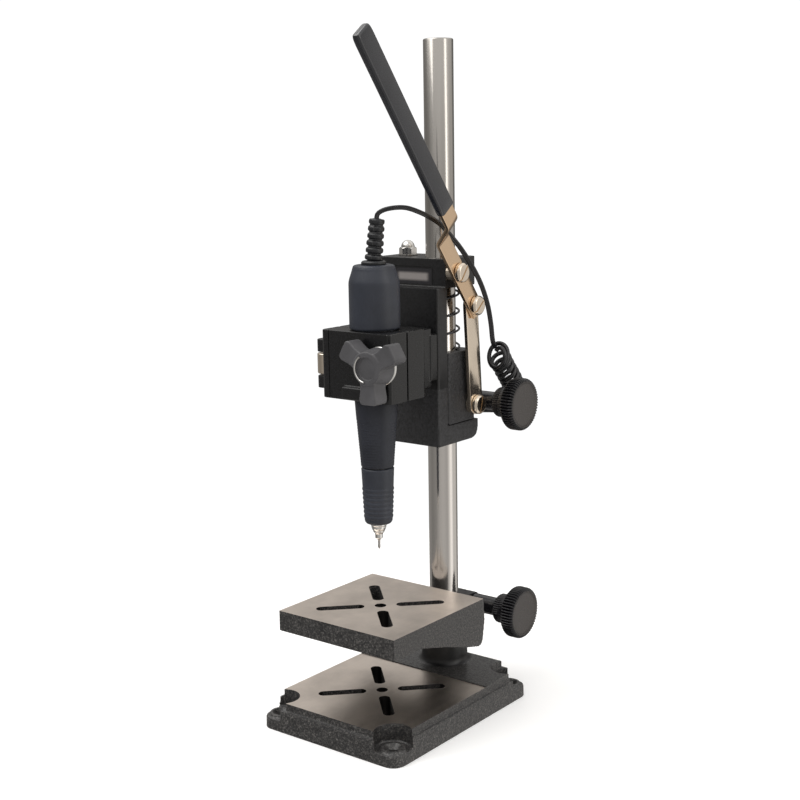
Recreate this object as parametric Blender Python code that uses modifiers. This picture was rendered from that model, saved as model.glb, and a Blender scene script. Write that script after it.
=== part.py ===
"""Bench stand with a clamped rotary handpiece and a curly lead, built as separate pieces.

Units are metres, +Z is up. The column's axis is the Z axis, the bench is z = 0, the handpiece hangs
in front at -Y, and the clamp knobs point to +X.
"""

from math import atan2, cos, hypot, pi, radians, sin

import bmesh
import bpy
from mathutils import Matrix, Vector

# ---- driving dimensions -------------------------------------------------------------------------
GAP = 0.0003                 # clearance between pieces that touch
MERGE = 0.00001

COLUMN_R = 0.00936
COLUMN_TOP = 0.4185
SOCKET_FLOOR = 0.008         # the column's lower end stands this high in the base
BORE_R = COLUMN_R + GAP      # every hole that the column passes through

BASE_X = 0.0537              # half-width of the base
BASE_FRONT = -0.1213
BASE_REAR = 0.0196
BASE_EDGE_Z = 0.0135         # top of the base's outer wall
PLATEAU_INSET = 0.0029       # the machined top is this much smaller all round
PLATEAU_Z = 0.01826
LUG_Z = 0.007
LUG_INSET = 0.0095           # screw-hole centre to the base's edge
LUG_NOTCH_R = 0.0115
SCREW_HOLE_R = 0.0029
BOSS_TOP = 0.045
SLOT_WIDTH = 0.0065
SLOT_NEAR = 0.010            # from the centre hole to a slot's inner end
SLOT_FAR = 0.040

SPINDLE_Y = -0.0668          # the handpiece's axis stands here, over the centre holes
CENTRE_HOLE_R = 0.0036

TABLE_X = 0.045
TABLE_FRONT = -0.1105
TABLE_REAR = -0.0196
TABLE_TOP = 0.0737
TABLE_THICK = 0.013

HUB_SCREW_Y = 0.0235         # clamp screws cross the split ears here, along X
EAR_X = 0.0078
EAR_R = 0.0068
TABLE_SCREW_Z = 0.0521
COLLAR_SCREW_Z = 0.1912
SPLIT = 0.0016

FRAME_LOW = 0.168            # underside of the sliding C-shaped frame
FRAME_STEP = 0.180           # top of its lower block
FRAME_LINTEL = 0.267         # underside of its upper block
FRAME_TOP = 0.285
FRAME_LEFT = -0.040
FRAME_RIGHT = 0.0155
FRAME_FRONT = -0.0246
FRAME_PLATE_REAR = -0.014
FRAME_REAR = 0.018
LINTEL_FRONT = -0.016
COLLAR_TOP = 0.226

ROD_X = -0.0265
ROD_Y = 0.0009
ROD_R = 0.003

LEVER_ANGLE = radians(52.5)  # the lever's slope at rest, grip end up
LEVER_PIVOT = (-0.0111, 0.2768)          # Y and Z
LEVER_CRANK = 0.0275         # from the pivot to the link's screw
LEVER_IN = 0.0204
BAR_THICK = 0.0025
BAR_WIDTH = 0.012
LEVER_JOGGLE = 0.0131
GRIP_START = 0.0506
GRIP_END = 0.174
LINK_ANCHOR = (0.0104, COLLAR_SCREW_Z - 0.0004)
LINK_IN = 0.0176
LINK_WIDTH = 0.013

CLAMP_LOW = 0.205
CLAMP_TOP = 0.2465
CLAMP_BORE_R = 0.0135
CLAMP_X = 0.0245
CLAMP_LEFT = -0.0285
HINGE_X = -0.0330
HINGE_Y = -0.0735
STAR_X = 0.0185
STAR_Z = 0.228

CORD_R = 0.0016
CURLY_R = 0.0076

# ---- finishes: base colour, roughness, metallic ---------------------------------------------------
CAST_PAINT = ((0.045, 0.045, 0.048), 0.55, 0.1)
BLACK_PAINT = ((0.02, 0.02, 0.022), 0.45, 0.0)
SATIN_STEEL = ((0.42, 0.40, 0.38), 0.38, 1.0)
CHROME = ((0.72, 0.71, 0.69), 0.15, 1.0)
NICKEL = ((0.74, 0.66, 0.55), 0.22, 1.0)
DARK_STEEL = ((0.08, 0.08, 0.085), 0.4, 0.9)
BLACK_PLASTIC = ((0.025, 0.025, 0.027), 0.35, 0.0)
GREY_PLASTIC = ((0.05, 0.052, 0.056), 0.5, 0.0)
BLUE_GREY = ((0.045, 0.05, 0.062), 0.55, 0.0)
COPPER = ((0.55, 0.27, 0.15), 0.35, 1.0)
CORD_BLACK = ((0.02, 0.02, 0.02), 0.35, 0.0)


# ---- scene and object helpers ---------------------------------------------------------------------
def clear_scene():
    for obj in list(bpy.data.objects):
        bpy.data.objects.remove(obj, do_unlink=True)


def new_collection(name):
    collection = bpy.data.collections.new(name)
    bpy.context.scene.collection.children.link(collection)
    return collection


clear_scene()
PARTS = new_collection("rotary_tool_stand")
CUTTERS = new_collection("cutters")


def bare(data, name="shape"):
    obj = bpy.data.objects.new(name, data)
    CUTTERS.objects.link(obj)
    obj.hide_render = True
    obj.display_type = "WIRE"
    return obj


def finished(obj, name, finish, origin=(0.0, 0.0, 0.0)):
    """Turns a shape into the named sub-part, with its own material and its origin at a point."""
    if obj.type == "MESH":
        obj.data.transform(Matrix.Translation(obj.location - Vector(origin)))
        obj.location = origin
    obj.name = name
    obj.data.name = name
    CUTTERS.objects.unlink(obj)
    PARTS.objects.link(obj)
    obj.hide_render = False
    obj.display_type = "TEXTURED"
    colour, roughness, metallic = finish
    material = bpy.data.materials.new(name)
    material.use_nodes = True
    shader = material.node_tree.nodes["Principled BSDF"]
    shader.inputs["Base Color"].default_value = (*colour, 1.0)
    shader.inputs["Roughness"].default_value = roughness
    shader.inputs["Metallic"].default_value = metallic
    obj.data.materials.clear()
    obj.data.materials.append(material)
    if obj.type == "MESH":
        obj.data.shade_smooth()
        obj.data.set_sharp_from_angle(angle=radians(35))
    return obj


def boolean(target, operation, tools):
    for tool in tools:
        modifier = target.modifiers.new(operation.lower(), "BOOLEAN")
        modifier.operation = operation
        modifier.solver = "EXACT"
        modifier.object = tool
    return target


def cut(target, *tools):
    return boolean(target, "DIFFERENCE", tools)


def join(target, *tools):
    return boolean(target, "UNION", tools)


def from_bmesh(bm):
    bmesh.ops.recalc_face_normals(bm, faces=bm.faces)
    mesh = bpy.data.meshes.new("shape")
    bm.to_mesh(mesh)
    bm.free()
    return bare(mesh)


def evaluated_mesh(obj):
    """Replaces an object that holds a curve or modifiers by its welded mesh, in world space."""
    depsgraph = bpy.context.evaluated_depsgraph_get()
    depsgraph.update()
    mesh = bpy.data.meshes.new_from_object(obj.evaluated_get(depsgraph))
    mesh.transform(obj.matrix_world)
    bpy.data.objects.remove(obj, do_unlink=True)
    bm = bmesh.new()
    bm.from_mesh(mesh)
    bmesh.ops.remove_doubles(bm, verts=bm.verts, dist=MERGE)
    bpy.data.meshes.remove(mesh)
    return from_bmesh(bm)


# ---- shape helpers ----------------------------------------------------------------------------------
def block(low, high, radius=0.0, along=None, segments=3, where=None):
    """A box between two corners; radius rounds its edges, along ('X', 'Y' or 'Z') only those
    parallel to that axis, and where chooses among them by their middle point."""
    low, high = Vector(low), Vector(high)
    bm = bmesh.new()
    bmesh.ops.create_cube(bm, size=1.0)
    bmesh.ops.scale(bm, vec=high - low, verts=bm.verts)
    bmesh.ops.translate(bm, vec=(low + high) / 2, verts=bm.verts)
    if radius:
        edges = [e for e in bm.edges if runs_along(e, along)]
        edges = [e for e in edges if where is None or where((e.verts[0].co + e.verts[1].co) / 2)]
        bmesh.ops.bevel(bm, geom=edges, offset=radius, segments=segments, profile=0.5, affect="EDGES")
    return from_bmesh(bm)


def runs_along(edge, axis):
    if axis is None:
        return True
    direction = (edge.verts[1].co - edge.verts[0].co).normalized()
    return abs(direction["XYZ".index(axis)]) > 0.99


def rod(start, end, radius, end_radius=None, sides=24):
    """A round bar or cone from one point to another."""
    start, end = Vector(start), Vector(end)
    bm = bmesh.new()
    bmesh.ops.create_cone(bm, cap_ends=True, segments=sides, radius1=radius,
                          radius2=radius if end_radius is None else end_radius,
                          depth=(end - start).length)
    turn = Vector((0, 0, 1)).rotation_difference(end - start).to_matrix().to_4x4()
    bmesh.ops.transform(bm, matrix=Matrix.Translation((start + end) / 2) @ turn, verts=bm.verts)
    return from_bmesh(bm)


def turned(profile, origin, direction=(0, 0, 1), steps=24):
    """A solid of revolution. The profile is (radius, height) points down its outer side; it closes
    up its inner side when its ends are off the axis."""
    mesh = bpy.data.meshes.new("profile")
    count = len(profile)
    edges = [(i, i + 1) for i in range(count - 1)]
    if profile[0][0] > 0 or profile[-1][0] > 0:
        edges.append((count - 1, 0))
    mesh.from_pydata([(r, 0.0, z) for r, z in profile], edges, [])
    obj = bare(mesh)
    screw = obj.modifiers.new("turn", "SCREW")
    screw.axis = "Z"
    screw.angle = 2 * pi
    screw.steps = steps
    screw.render_steps = steps
    screw.use_merge_vertices = True
    screw.merge_threshold = MERGE
    turn = Vector((0, 0, 1)).rotation_difference(Vector(direction)).to_matrix().to_4x4()
    obj.matrix_world = Matrix.Translation(origin) @ turn
    return evaluated_mesh(obj)


def ring(low, high, inner, outer, centre=(0.0, 0.0), steps=24):
    """An upright ring between two heights."""
    return turned([(outer, high), (outer, low), (inner, low), (inner, high)],
                  (centre[0], centre[1], 0.0), steps=steps)


def flat_x(outline, low, high):
    """A flat outline of (y, z) points, solid between two x positions."""
    curve = bpy.data.curves.new("outline", "CURVE")
    curve.dimensions = "2D"
    curve.fill_mode = "BOTH"
    curve.extrude = (high - low) / 2
    spline = curve.splines.new("POLY")
    spline.points.add(len(outline) - 1)
    for point, (y, z) in zip(spline.points, outline):
        point.co = (y, z, 0.0, 1.0)
    spline.use_cyclic_u = True
    obj = bare(curve)
    turn = Matrix(((0, 0, 1), (1, 0, 0), (0, 1, 0))).to_4x4()
    obj.matrix_world = Matrix.Translation(((low + high) / 2, 0.0, 0.0)) @ turn
    return evaluated_mesh(obj)


def wire(points, radius, resolution=2):
    """A round wire or cord through the given points."""
    curve = bpy.data.curves.new("wire", "CURVE")
    curve.dimensions = "3D"
    curve.bevel_depth = radius
    curve.bevel_resolution = resolution
    curve.use_fill_caps = True
    spline = curve.splines.new("POLY")
    spline.points.add(len(points) - 1)
    for point, place in zip(spline.points, points):
        point.co = (*place, 1.0)
    return evaluated_mesh(bare(curve))


def smooth_route(points, step):
    """Points a step apart along a smooth curve (centripetal Catmull-Rom) through the given ones."""
    pts = [Vector(p) for p in points]
    pts = [2 * pts[0] - pts[1], *pts, 2 * pts[-1] - pts[-2]]
    fine = []
    for a, b, c, d in zip(pts, pts[1:], pts[2:], pts[3:]):
        t1 = (b - a).length ** 0.5
        t2 = t1 + (c - b).length ** 0.5
        t3 = t2 + (d - c).length ** 0.5
        for i in range(24):
            t = t1 + (t2 - t1) * i / 24
            ab = a.lerp(b, t / t1)
            bc = b.lerp(c, (t - t1) / (t2 - t1))
            cd = c.lerp(d, (t - t2) / (t3 - t2))
            abc = ab.lerp(bc, t / t2)
            bcd = bc.lerp(cd, (t - t1) / (t3 - t1))
            fine.append(abc.lerp(bcd, (t - t1) / (t2 - t1)))
    fine.append(pts[-2])
    total = sum((q - p).length for p, q in zip(fine, fine[1:]))
    count = max(2, round(total / step))
    route, run, goal = [fine[0]], 0.0, total / count
    for p, q in zip(fine, fine[1:]):
        long = (q - p).length
        while run + long >= goal - 1e-9 and len(route) < count:
            route.append(p.lerp(q, (goal - run) / long))
            goal += total / count
        run += long
    route.append(fine[-1])
    return route


def hexagon(low, high, across_flats, centre, direction):
    """A hexagonal prism whose axis runs from low to high along a unit direction."""
    centre, direction = Vector(centre), Vector(direction)
    return rod(centre + direction * low, centre + direction * high, across_flats / 2 / cos(pi / 6),
               sides=6)


# ---- base and column --------------------------------------------------------------------------------
def cross_slots(low, high):
    """The centre hole and the four diagonal slots, as cutters."""
    cutters = [rod((0, SPINDLE_Y, low), (0, SPINDLE_Y, high), CENTRE_HOLE_R)]
    half = SLOT_WIDTH / 2
    for quarter in range(4):
        angle = pi / 4 + quarter * pi / 2
        slot = block((SLOT_NEAR, -half, low), (SLOT_FAR, half, high), half * 0.98, "Z", 3)
        slot.data.transform(Matrix.Translation((0, SPINDLE_Y, 0)) @ Matrix.Rotation(angle, 4, "Z"))
        cutters.append(slot)
    return cutters


def lug_centres():
    x = BASE_X - LUG_INSET
    for y in (BASE_FRONT + LUG_INSET, BASE_REAR - LUG_INSET):
        for side in (-x, x):
            yield side, y


def base_casting():
    base = block((-BASE_X, BASE_FRONT, 0), (BASE_X, BASE_REAR, BASE_EDGE_Z), 0.0085, "Z", 5)
    inset = PLATEAU_INSET
    plateau = block((-BASE_X + inset, BASE_FRONT + inset, 0.004),
                    (BASE_X - inset, BASE_REAR - inset, PLATEAU_Z), 0.004, "Z")
    boss = rod((0, 0, PLATEAU_Z - 0.004), (0, 0, BOSS_TOP), 0.0155, 0.0142, 40)
    join(base, plateau, boss)
    for x, y in lug_centres():
        cut(base, rod((x, y, LUG_Z), (x, y, 0.03), LUG_NOTCH_R, sides=20))
        join(base, rod((x, y, 0.003), (x, y, LUG_Z + 0.0014), 0.0078, 0.0072, 16))
        cut(base, rod((x, y, -0.005), (x, y, 0.03), SCREW_HOLE_R, sides=12))
        cut(base, rod((x, y, LUG_Z - 0.0012), (x, y, LUG_Z + 0.0018), SCREW_HOLE_R, 0.0059, 12))
    cut(base, *cross_slots(-0.01, 0.03))
    cut(base, rod((0, 0, SOCKET_FLOOR), (0, 0, 0.06), BORE_R, sides=40))
    cut(base, rod((0, 0.006, 0.032), (0, 0.03, 0.032), 0.0028, sides=16))
    return finished(base, "base_casting", CAST_PAINT)


def column():
    chamfer = 0.0008
    bar = turned([(0, COLUMN_TOP), (COLUMN_R - chamfer, COLUMN_TOP), (COLUMN_R, COLUMN_TOP - chamfer),
                  (COLUMN_R, SOCKET_FLOOR + GAP), (0, SOCKET_FLOOR + GAP)], (0, 0, 0), steps=40)
    return finished(bar, "column", CHROME)


def column_set_screw():
    screw = rod((0, COLUMN_R + GAP, 0.032), (0, 0.0146, 0.032), 0.0025, sides=16)
    cut(screw, hexagon(0.0125, 0.02, 0.0025, (0, 0, 0.032), (0, 1, 0)))
    return finished(screw, "column_set_screw", DARK_STEEL)


# ---- split clamps, their screws and knobs -------------------------------------------------------------
def clamp_ears(z):
    """The two ears behind the column that a clamp screw pulls together."""
    web = block((-EAR_X, 0.008, z - EAR_R), (EAR_X, HUB_SCREW_Y, z + EAR_R))
    end = rod((-EAR_X, HUB_SCREW_Y, z), (EAR_X, HUB_SCREW_Y, z), EAR_R)
    return [web, end]


def clamp_openings(z, low, high):
    """The column's bore, the split and the screw's hole."""
    bore = rod((0, 0, low - 0.01), (0, 0, high + 0.01), BORE_R, sides=40)
    split = block((-SPLIT / 2, 0.004, low - 0.01), (SPLIT / 2, 0.05, high + 0.01))
    hole = rod((-0.02, HUB_SCREW_Y, z), (0.02, HUB_SCREW_Y, z), 0.0028, sides=20)
    return [bore, split, hole]


def clamp_nut(name, z):
    start = EAR_X + GAP
    nut = hexagon(start, start + 0.004, 0.0085, (0, HUB_SCREW_Y, z), (-1, 0, 0))
    cut(nut, rod((-0.03, HUB_SCREW_Y, z), (0, HUB_SCREW_Y, z), 0.0028, sides=20))
    return finished(nut, name, DARK_STEEL, (0, HUB_SCREW_Y, z))


def clamp_stud(name, z):
    stud = rod((-0.0135, HUB_SCREW_Y, z), (0.022, HUB_SCREW_Y, z), 0.0025, sides=20)
    return finished(stud, name, SATIN_STEEL, (0, HUB_SCREW_Y, z))


def clamp_knob(name, z):
    """Long neck, small knurled collar, broad knurled rim and a dished face, turned about X."""
    neck, rim = 0.006, 0.0168
    profile = [(0, 0.0476), (0.0135, 0.0480), (0.0154, 0.0484), (rim, 0.0470), (rim, 0.0402),
               (0.0145, 0.0385), (0.0105, 0.0335), (0.0096, 0.033), (0.0096, 0.0292),
               (neck + 0.001, 0.0275), (neck, 0.026), (neck, EAR_X + 0.0005),
               (0.0028, EAR_X + 0.0005), (0.0028, 0.0225), (0, 0.0225)]
    knob = turned(profile, (0, HUB_SCREW_Y, z), (1, 0, 0), 24)
    return finished(knob, name, BLACK_PLASTIC, (0, HUB_SCREW_Y, z))


# ---- table ----------------------------------------------------------------------------------------------
def work_table():
    low = TABLE_TOP - TABLE_THICK
    side = [(TABLE_FRONT, low), (-0.084, low - 0.0003), (-0.036, 0.0465), (-0.0245, 0.0437),
            (-0.0215, 0.0448), (-0.0202, 0.0475), (-0.0175, 0.060), (TABLE_REAR, TABLE_TOP),
            (TABLE_FRONT, TABLE_TOP)]
    table = flat_x(side, -TABLE_X, TABLE_X)
    hub = rod((0, 0, 0.0456), (0, 0, 0.0632), 0.0153, sides=40)
    web = block((-0.013, -0.024, 0.0466), (0.013, -0.006, 0.0625))
    join(table, web, hub, *clamp_ears(TABLE_SCREW_Z + 0.0003))
    cut(table, *clamp_openings(TABLE_SCREW_Z + 0.0003, 0.04, 0.08), *cross_slots(0.03, 0.08))
    return finished(table, "work_table", CAST_PAINT)


# ---- collar that carries the head ---------------------------------------------------------------------
def head_collar():
    low = FRAME_STEP + 0.0004
    collar = block((-0.0145, -0.0134, low), (0.0152, 0.0155, COLLAR_TOP), 0.002, "Z")
    arm = block((ROD_X - 0.0065, ROD_Y - 0.006, 0.205), (-0.012, ROD_Y + 0.006, 0.217), 0.003, "Z")
    join(collar, arm, *clamp_ears(COLLAR_SCREW_Z))
    cut(collar, *clamp_openings(COLLAR_SCREW_Z, low, COLLAR_TOP))
    cut(collar, rod((ROD_X, ROD_Y, 0.19), (ROD_X, ROD_Y, 0.23), ROD_R + GAP))
    y, z = LINK_ANCHOR
    cut(collar, rod((0.0085, y, z), (0.03, y, z), 0.0025, sides=16))
    return finished(collar, "head_collar", CAST_PAINT)


def return_spring():
    """Open coil around the column, from the collar up to the frame's upper block."""
    mean, thick, turns, per_turn = 0.01145, 0.00065, 3.45, 13
    low = COLLAR_TOP + GAP + thick
    high = FRAME_LINTEL - GAP - thick
    count = round(turns * per_turn)
    points = []
    for i in range(count + 1):
        angle = 2 * pi * turns * i / count
        points.append((mean * cos(angle), mean * sin(angle), low + (high - low) * i / count))
    return finished(wire(points, thick), "return_spring", DARK_STEEL)


# ---- slotted screws, washers ----------------------------------------------------------------------------
def slotted_screw(name, spot, tip, under_head, shank, finish=NICKEL):
    """A screw along X with a round slotted head; spot is its (y, z)."""
    y, z = spot
    head = 0.0035
    profile = [(0, under_head + head), (0.0052, under_head + head), (0.0060, under_head + head - 0.0008),
               (0.0060, under_head), (shank, under_head), (shank, tip), (0, tip)]
    screw = turned(profile, (0, y, z), (1, 0, 0), 24)
    slot = block((under_head + head - 0.0014, -0.01, -0.0006), (under_head + 0.01, 0.01, 0.0006))
    slot.data.transform(Matrix.Translation((0, y, z)) @ Matrix.Rotation(radians(50), 4, "X"))
    cut(screw, slot)
    return finished(screw, name, finish, (0, y, z))


def washer(name, spot, start, end, inner, outer, finish=NICKEL):
    y, z = spot
    disc = turned([(outer, end), (outer, start), (inner, start), (inner, end)], (0, y, z), (1, 0, 0), 24)
    return finished(disc, name, finish, (0, y, z))


# ---- sliding frame ------------------------------------------------------------------------------------
def head_frame():
    plate = block((FRAME_LEFT, FRAME_FRONT, FRAME_LOW),
                  (FRAME_RIGHT, FRAME_PLATE_REAR, FRAME_LINTEL + 0.0005), 0.0012, "Z", 2)
    foot = block((FRAME_LEFT, FRAME_FRONT + 0.001, FRAME_LOW), (FRAME_RIGHT, FRAME_REAR, FRAME_STEP),
                 0.0065, "X", 4, lambda m: m.y > 0 and m.z < FRAME_LOW + 0.001)
    lintel = block((FRAME_LEFT, LINTEL_FRONT, FRAME_LINTEL), (FRAME_RIGHT, FRAME_REAR, FRAME_TOP),
                   0.004, "Z", 4, lambda m: m.y > 0)
    join(plate, foot, lintel)
    cut(plate, rod((0, 0, 0.15), (0, 0, 0.3), BORE_R, sides=40))
    cut(plate, rod((ROD_X, ROD_Y, 0.15), (ROD_X, ROD_Y, 0.3), ROD_R + GAP))
    y, z = LEVER_PIVOT
    cut(plate, rod((0.0065, y, z), (0.03, y, z), 0.0028, sides=16))
    cut(plate, block((-0.0244, LINTEL_FRONT - 0.01, 0.2681), (0.0058, LINTEL_FRONT + 0.0008, 0.2799)))
    for x in (-0.028, 0.004):
        cut(plate, rod((x, -0.03, 0.2257), (x, -0.010, 0.2257), 0.0024, sides=16))
    return finished(plate, "head_frame", BLACK_PAINT)


def label_plate():
    plate = block((-0.0241, LINTEL_FRONT + 0.0001, 0.2684), (0.0055, LINTEL_FRONT + 0.0005, 0.2796))
    return finished(plate, "label_plate", DARK_STEEL)


def guide_rod():
    bar = turned([(0, FRAME_TOP + 0.004), (ROD_R, FRAME_TOP + 0.004), (ROD_R, FRAME_LOW + 0.0005),
                  (0, FRAME_LOW + 0.0005)], (ROD_X, ROD_Y, 0))
    return finished(bar, "guide_rod", CHROME)


def guide_rod_nut():
    low = FRAME_TOP + GAP
    nut = hexagon(low, low + 0.0052, 0.010, (ROD_X, ROD_Y, 0), (0, 0, 1))
    steps = 5
    arc = [(0, low + 0.0098)]
    for i in range(steps - 1, -1, -1):
        angle = pi / 2 * i / steps
        arc.append((0.0044 * cos(angle), low + 0.0052 + 0.0046 * sin(angle)))
    dome = turned([*arc, (0.0044, low + 0.004), (0, low + 0.004)], (ROD_X, ROD_Y, 0), steps=20)
    join(nut, dome)
    cut(nut, rod((ROD_X, ROD_Y, 0.28), (ROD_X, ROD_Y, FRAME_TOP + 0.0045), ROD_R + GAP))
    return finished(nut, "guide_rod_nut", CHROME)


# ---- handpiece clamp ----------------------------------------------------------------------------------
def clamp_bracket():
    """Flange on the frame, waist and the rear half of the clamp, in one casting."""
    rear = FRAME_FRONT - GAP
    flange = block((-0.032, rear - 0.0072, 0.2115), (FRAME_RIGHT, rear, 0.2398), 0.001, "Z", 2)
    waist = block((-0.018, -0.055, 0.2075), (0.0145, rear - 0.004, 0.2438), 0.002, "Z", 2)
    jaw = block((CLAMP_LEFT, SPINDLE_Y + 0.0004, CLAMP_LOW), (CLAMP_X, -0.0478, CLAMP_TOP), 0.004, "Z", 3,
                lambda m: m.y > -0.05)
    knuckles = [block((HINGE_X - 0.004, -0.0795, low), (CLAMP_LEFT + 0.002, -0.0615, low + 0.0078), 0.004,
                      "Z", 3, lambda m: m.x < HINGE_X)
                for low in (0.2095, 0.2317)]
    join(flange, waist, jaw, *knuckles)
    cut(flange, rod((0, SPINDLE_Y, 0.19), (0, SPINDLE_Y, 0.26), CLAMP_BORE_R, sides=40))
    cut(flange, rod((STAR_X, -0.08, STAR_Z), (STAR_X, -0.0505, STAR_Z), 0.0034, sides=16))
    cut(flange, rod((HINGE_X, HINGE_Y, 0.2), (HINGE_X, HINGE_Y, 0.25), 0.0019, sides=16))
    cut(flange, rod((HINGE_X, HINGE_Y, 0.2173), (HINGE_X, HINGE_Y, 0.2317), 0.0062, sides=24))
    for x in (-0.028, 0.004):
        cut(flange, rod((x, -0.028, 0.2257), (x, -0.01, 0.2257), 0.0024, sides=16))
    return finished(flange, "clamp_bracket", BLACK_PAINT)


def bracket_screw(name, x):
    """A socket screw from inside the frame's window into the bracket."""
    rear = FRAME_PLATE_REAR
    screw = rod((x, rear - 0.0133, 0.2257), (x, rear - 0.002, 0.2257), 0.0021, sides=16)
    return finished(screw, name, DARK_STEEL)


def clamp_jaw():
    """Front half of the clamp; it swings on the pin at its left end."""
    jaw = block((CLAMP_LEFT, -0.0838, CLAMP_LOW), (CLAMP_X, SPINDLE_Y - 0.0006, CLAMP_TOP), 0.003, "Z", 3,
                lambda m: m.y < -0.08)
    pad = block((-0.0105, -0.0868, CLAMP_LOW + 0.001), (0.0085, -0.08, CLAMP_LOW + 0.0085), 0.001, "X", 2)
    arm = block((HINGE_X, -0.0785, 0.2178), (CLAMP_LEFT + 0.001, -0.0685, 0.2312))
    eye = rod((HINGE_X, HINGE_Y, 0.2178), (HINGE_X, HINGE_Y, 0.2312), 0.005)
    join(jaw, pad, arm, eye)
    cut(jaw, block((HINGE_X - 0.0043, -0.0798, 0.2092), (CLAMP_LEFT + 0.0055, -0.0612, 0.2176)),
        block((HINGE_X - 0.0043, -0.0798, 0.2314), (CLAMP_LEFT + 0.0055, -0.0612, 0.2398)))
    cut(jaw, rod((0, SPINDLE_Y, 0.19), (0, SPINDLE_Y, 0.26), CLAMP_BORE_R, sides=40))
    cut(jaw, rod((STAR_X, -0.1, STAR_Z), (STAR_X, -0.05, STAR_Z), 0.0031, sides=16))
    cut(jaw, rod((HINGE_X, HINGE_Y, 0.2), (HINGE_X, HINGE_Y, 0.25), 0.0019, sides=16))
    return finished(jaw, "clamp_jaw", BLACK_PAINT, (HINGE_X, HINGE_Y, STAR_Z))


def hinge_pin():
    pin = rod((HINGE_X, HINGE_Y, 0.2085), (HINGE_X, HINGE_Y, 0.2405), 0.0016, sides=16)
    return finished(pin, "hinge_pin", NICKEL)


def star_washer():
    disc = turned([(0.0115, 0.0022), (0.0115, 0.0006), (0.0029, 0.0006), (0.0029, 0.0022)],
                  (STAR_X, -0.0838, STAR_Z), (0, -1, 0), 28)
    return finished(disc, "star_washer", CHROME, (STAR_X, -0.0838, STAR_Z))


def star_knob():
    """Three-lobed nut on the clamp stud, one lobe pointing down."""
    hub = rod((STAR_X, -0.0863, STAR_Z), (STAR_X, -0.0985, STAR_Z), 0.0092, 0.0085, 28)
    for third in range(3):
        lobe = block((-0.0058, -0.0975, -0.0212), (0.0058, -0.0872, -0.004), 0.002)
        turn = Matrix.Rotation(third * 2 * pi / 3, 4, "Y")
        lobe.data.transform(Matrix.Translation((STAR_X, 0, STAR_Z)) @ turn)
        join(hub, lobe)
    cut(hub, rod((STAR_X, -0.08, STAR_Z), (STAR_X, -0.0953, STAR_Z), 0.0028, sides=16))
    return finished(hub, "star_knob", GREY_PLASTIC, (STAR_X, -0.0838, STAR_Z))


def star_stud():
    stud = rod((STAR_X, -0.095, STAR_Z), (STAR_X, -0.0520, STAR_Z), 0.0025, sides=16)
    return finished(stud, "star_stud", SATIN_STEEL, (STAR_X, -0.0838, STAR_Z))


# ---- handpiece ----------------------------------------------------------------------------------------
AXIS = (0.0, SPINDLE_Y)
AXIS_POINT = (0.0, SPINDLE_Y, 0.0)


def drill_bit():
    bit = turned([(0, 0.131), (0.00118, 0.131), (0.00118, 0.1165), (0.0008, 0.1155), (0.0008, 0.1108),
                  (0, 0.110)], AXIS_POINT, steps=16)
    return finished(bit, "drill_bit", SATIN_STEEL, AXIS_POINT)


def collet():
    nose = turned([(0.0048, 0.1395), (0.0048, 0.1272), (0.0050, 0.1262), (0.0044, 0.1225), (0.0027, 0.1205),
                   (0.0023, 0.117), (0.00148, 0.117), (0.00148, 0.1395)], AXIS_POINT)
    return finished(nose, "collet", NICKEL, AXIS_POINT)


def spindle_shaft():
    shaft = turned([(0, 0.250), (0.002, 0.250), (0.002, 0.2085), (0.003, 0.2080), (0.003, 0.1402),
                    (0, 0.1402)], AXIS_POINT)
    return finished(shaft, "spindle_shaft", SATIN_STEEL, AXIS_POINT)


def motor_rotor():
    return finished(ring(0.214, 0.238, 0.0023, 0.008, AXIS), "motor_rotor", COPPER, AXIS_POINT)


def nose_ring():
    shell = turned([(0.0099, 0.1620), (0.0101, 0.1600), (0.0092, 0.1400), (0.0086, 0.1285), (0.0078, 0.1272),
                    (0.0053, 0.1272), (0.0053, 0.1435), (0.0086, 0.1450), (0.0086, 0.1620)], AXIS_POINT)
    return finished(shell, "nose_ring", BLUE_GREY, AXIS_POINT)


def handpiece_rings():
    finished(ring(0.1500, 0.1560, 0.0033, 0.0070, AXIS), "front_bearing", SATIN_STEEL)
    finished(ring(0.1980, 0.2040, 0.0033, 0.0070, AXIS), "rear_bearing", SATIN_STEEL)
    finished(ring(0.1455, 0.2085, 0.0073, 0.0083, AXIS), "spindle_housing", SATIN_STEEL)
    finished(ring(0.2430, 0.2470, 0.0023, 0.0050, AXIS), "motor_bearing", SATIN_STEEL)
    finished(ring(0.2100, 0.2400, 0.0083, 0.0117, AXIS), "motor_magnets", DARK_STEEL)
    finished(ring(0.2420, 0.2500, 0.0053, 0.0117, AXIS), "brush_plate", GREY_PLASTIC)


def grip_sleeve():
    sleeve = turned([(0.0132, 0.2048), (0.0132, 0.2040), (0.0126, 0.1950), (0.0113, 0.1780), (0.0102, 0.1640),
                     (0.0102, 0.1624), (0.0087, 0.1624), (0.0087, 0.2048)], AXIS_POINT, steps=28)
    return finished(sleeve, "grip_sleeve", BLUE_GREY)


def motor_housing():
    shell = turned([(0.0132, 0.2560), (0.0132, 0.2052), (0.0087, 0.2052), (0.0087, 0.2072), (0.0120, 0.2072),
                    (0.0120, 0.2560)], AXIS_POINT, steps=28)
    return finished(shell, "motor_housing", BLUE_GREY)


def rear_cap():
    shell = turned([(0.0120, 0.2850), (0.0124, 0.2846), (0.0149, 0.2766), (0.0153, 0.2740), (0.0153, 0.2474),
                    (0.0150, 0.2470), (0.0135, 0.2470), (0.0135, 0.2735), (0.0108, 0.2825), (0.0042, 0.2825),
                    (0.0042, 0.2850)], AXIS_POINT, steps=28)
    return finished(shell, "rear_cap", BLUE_GREY)


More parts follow.
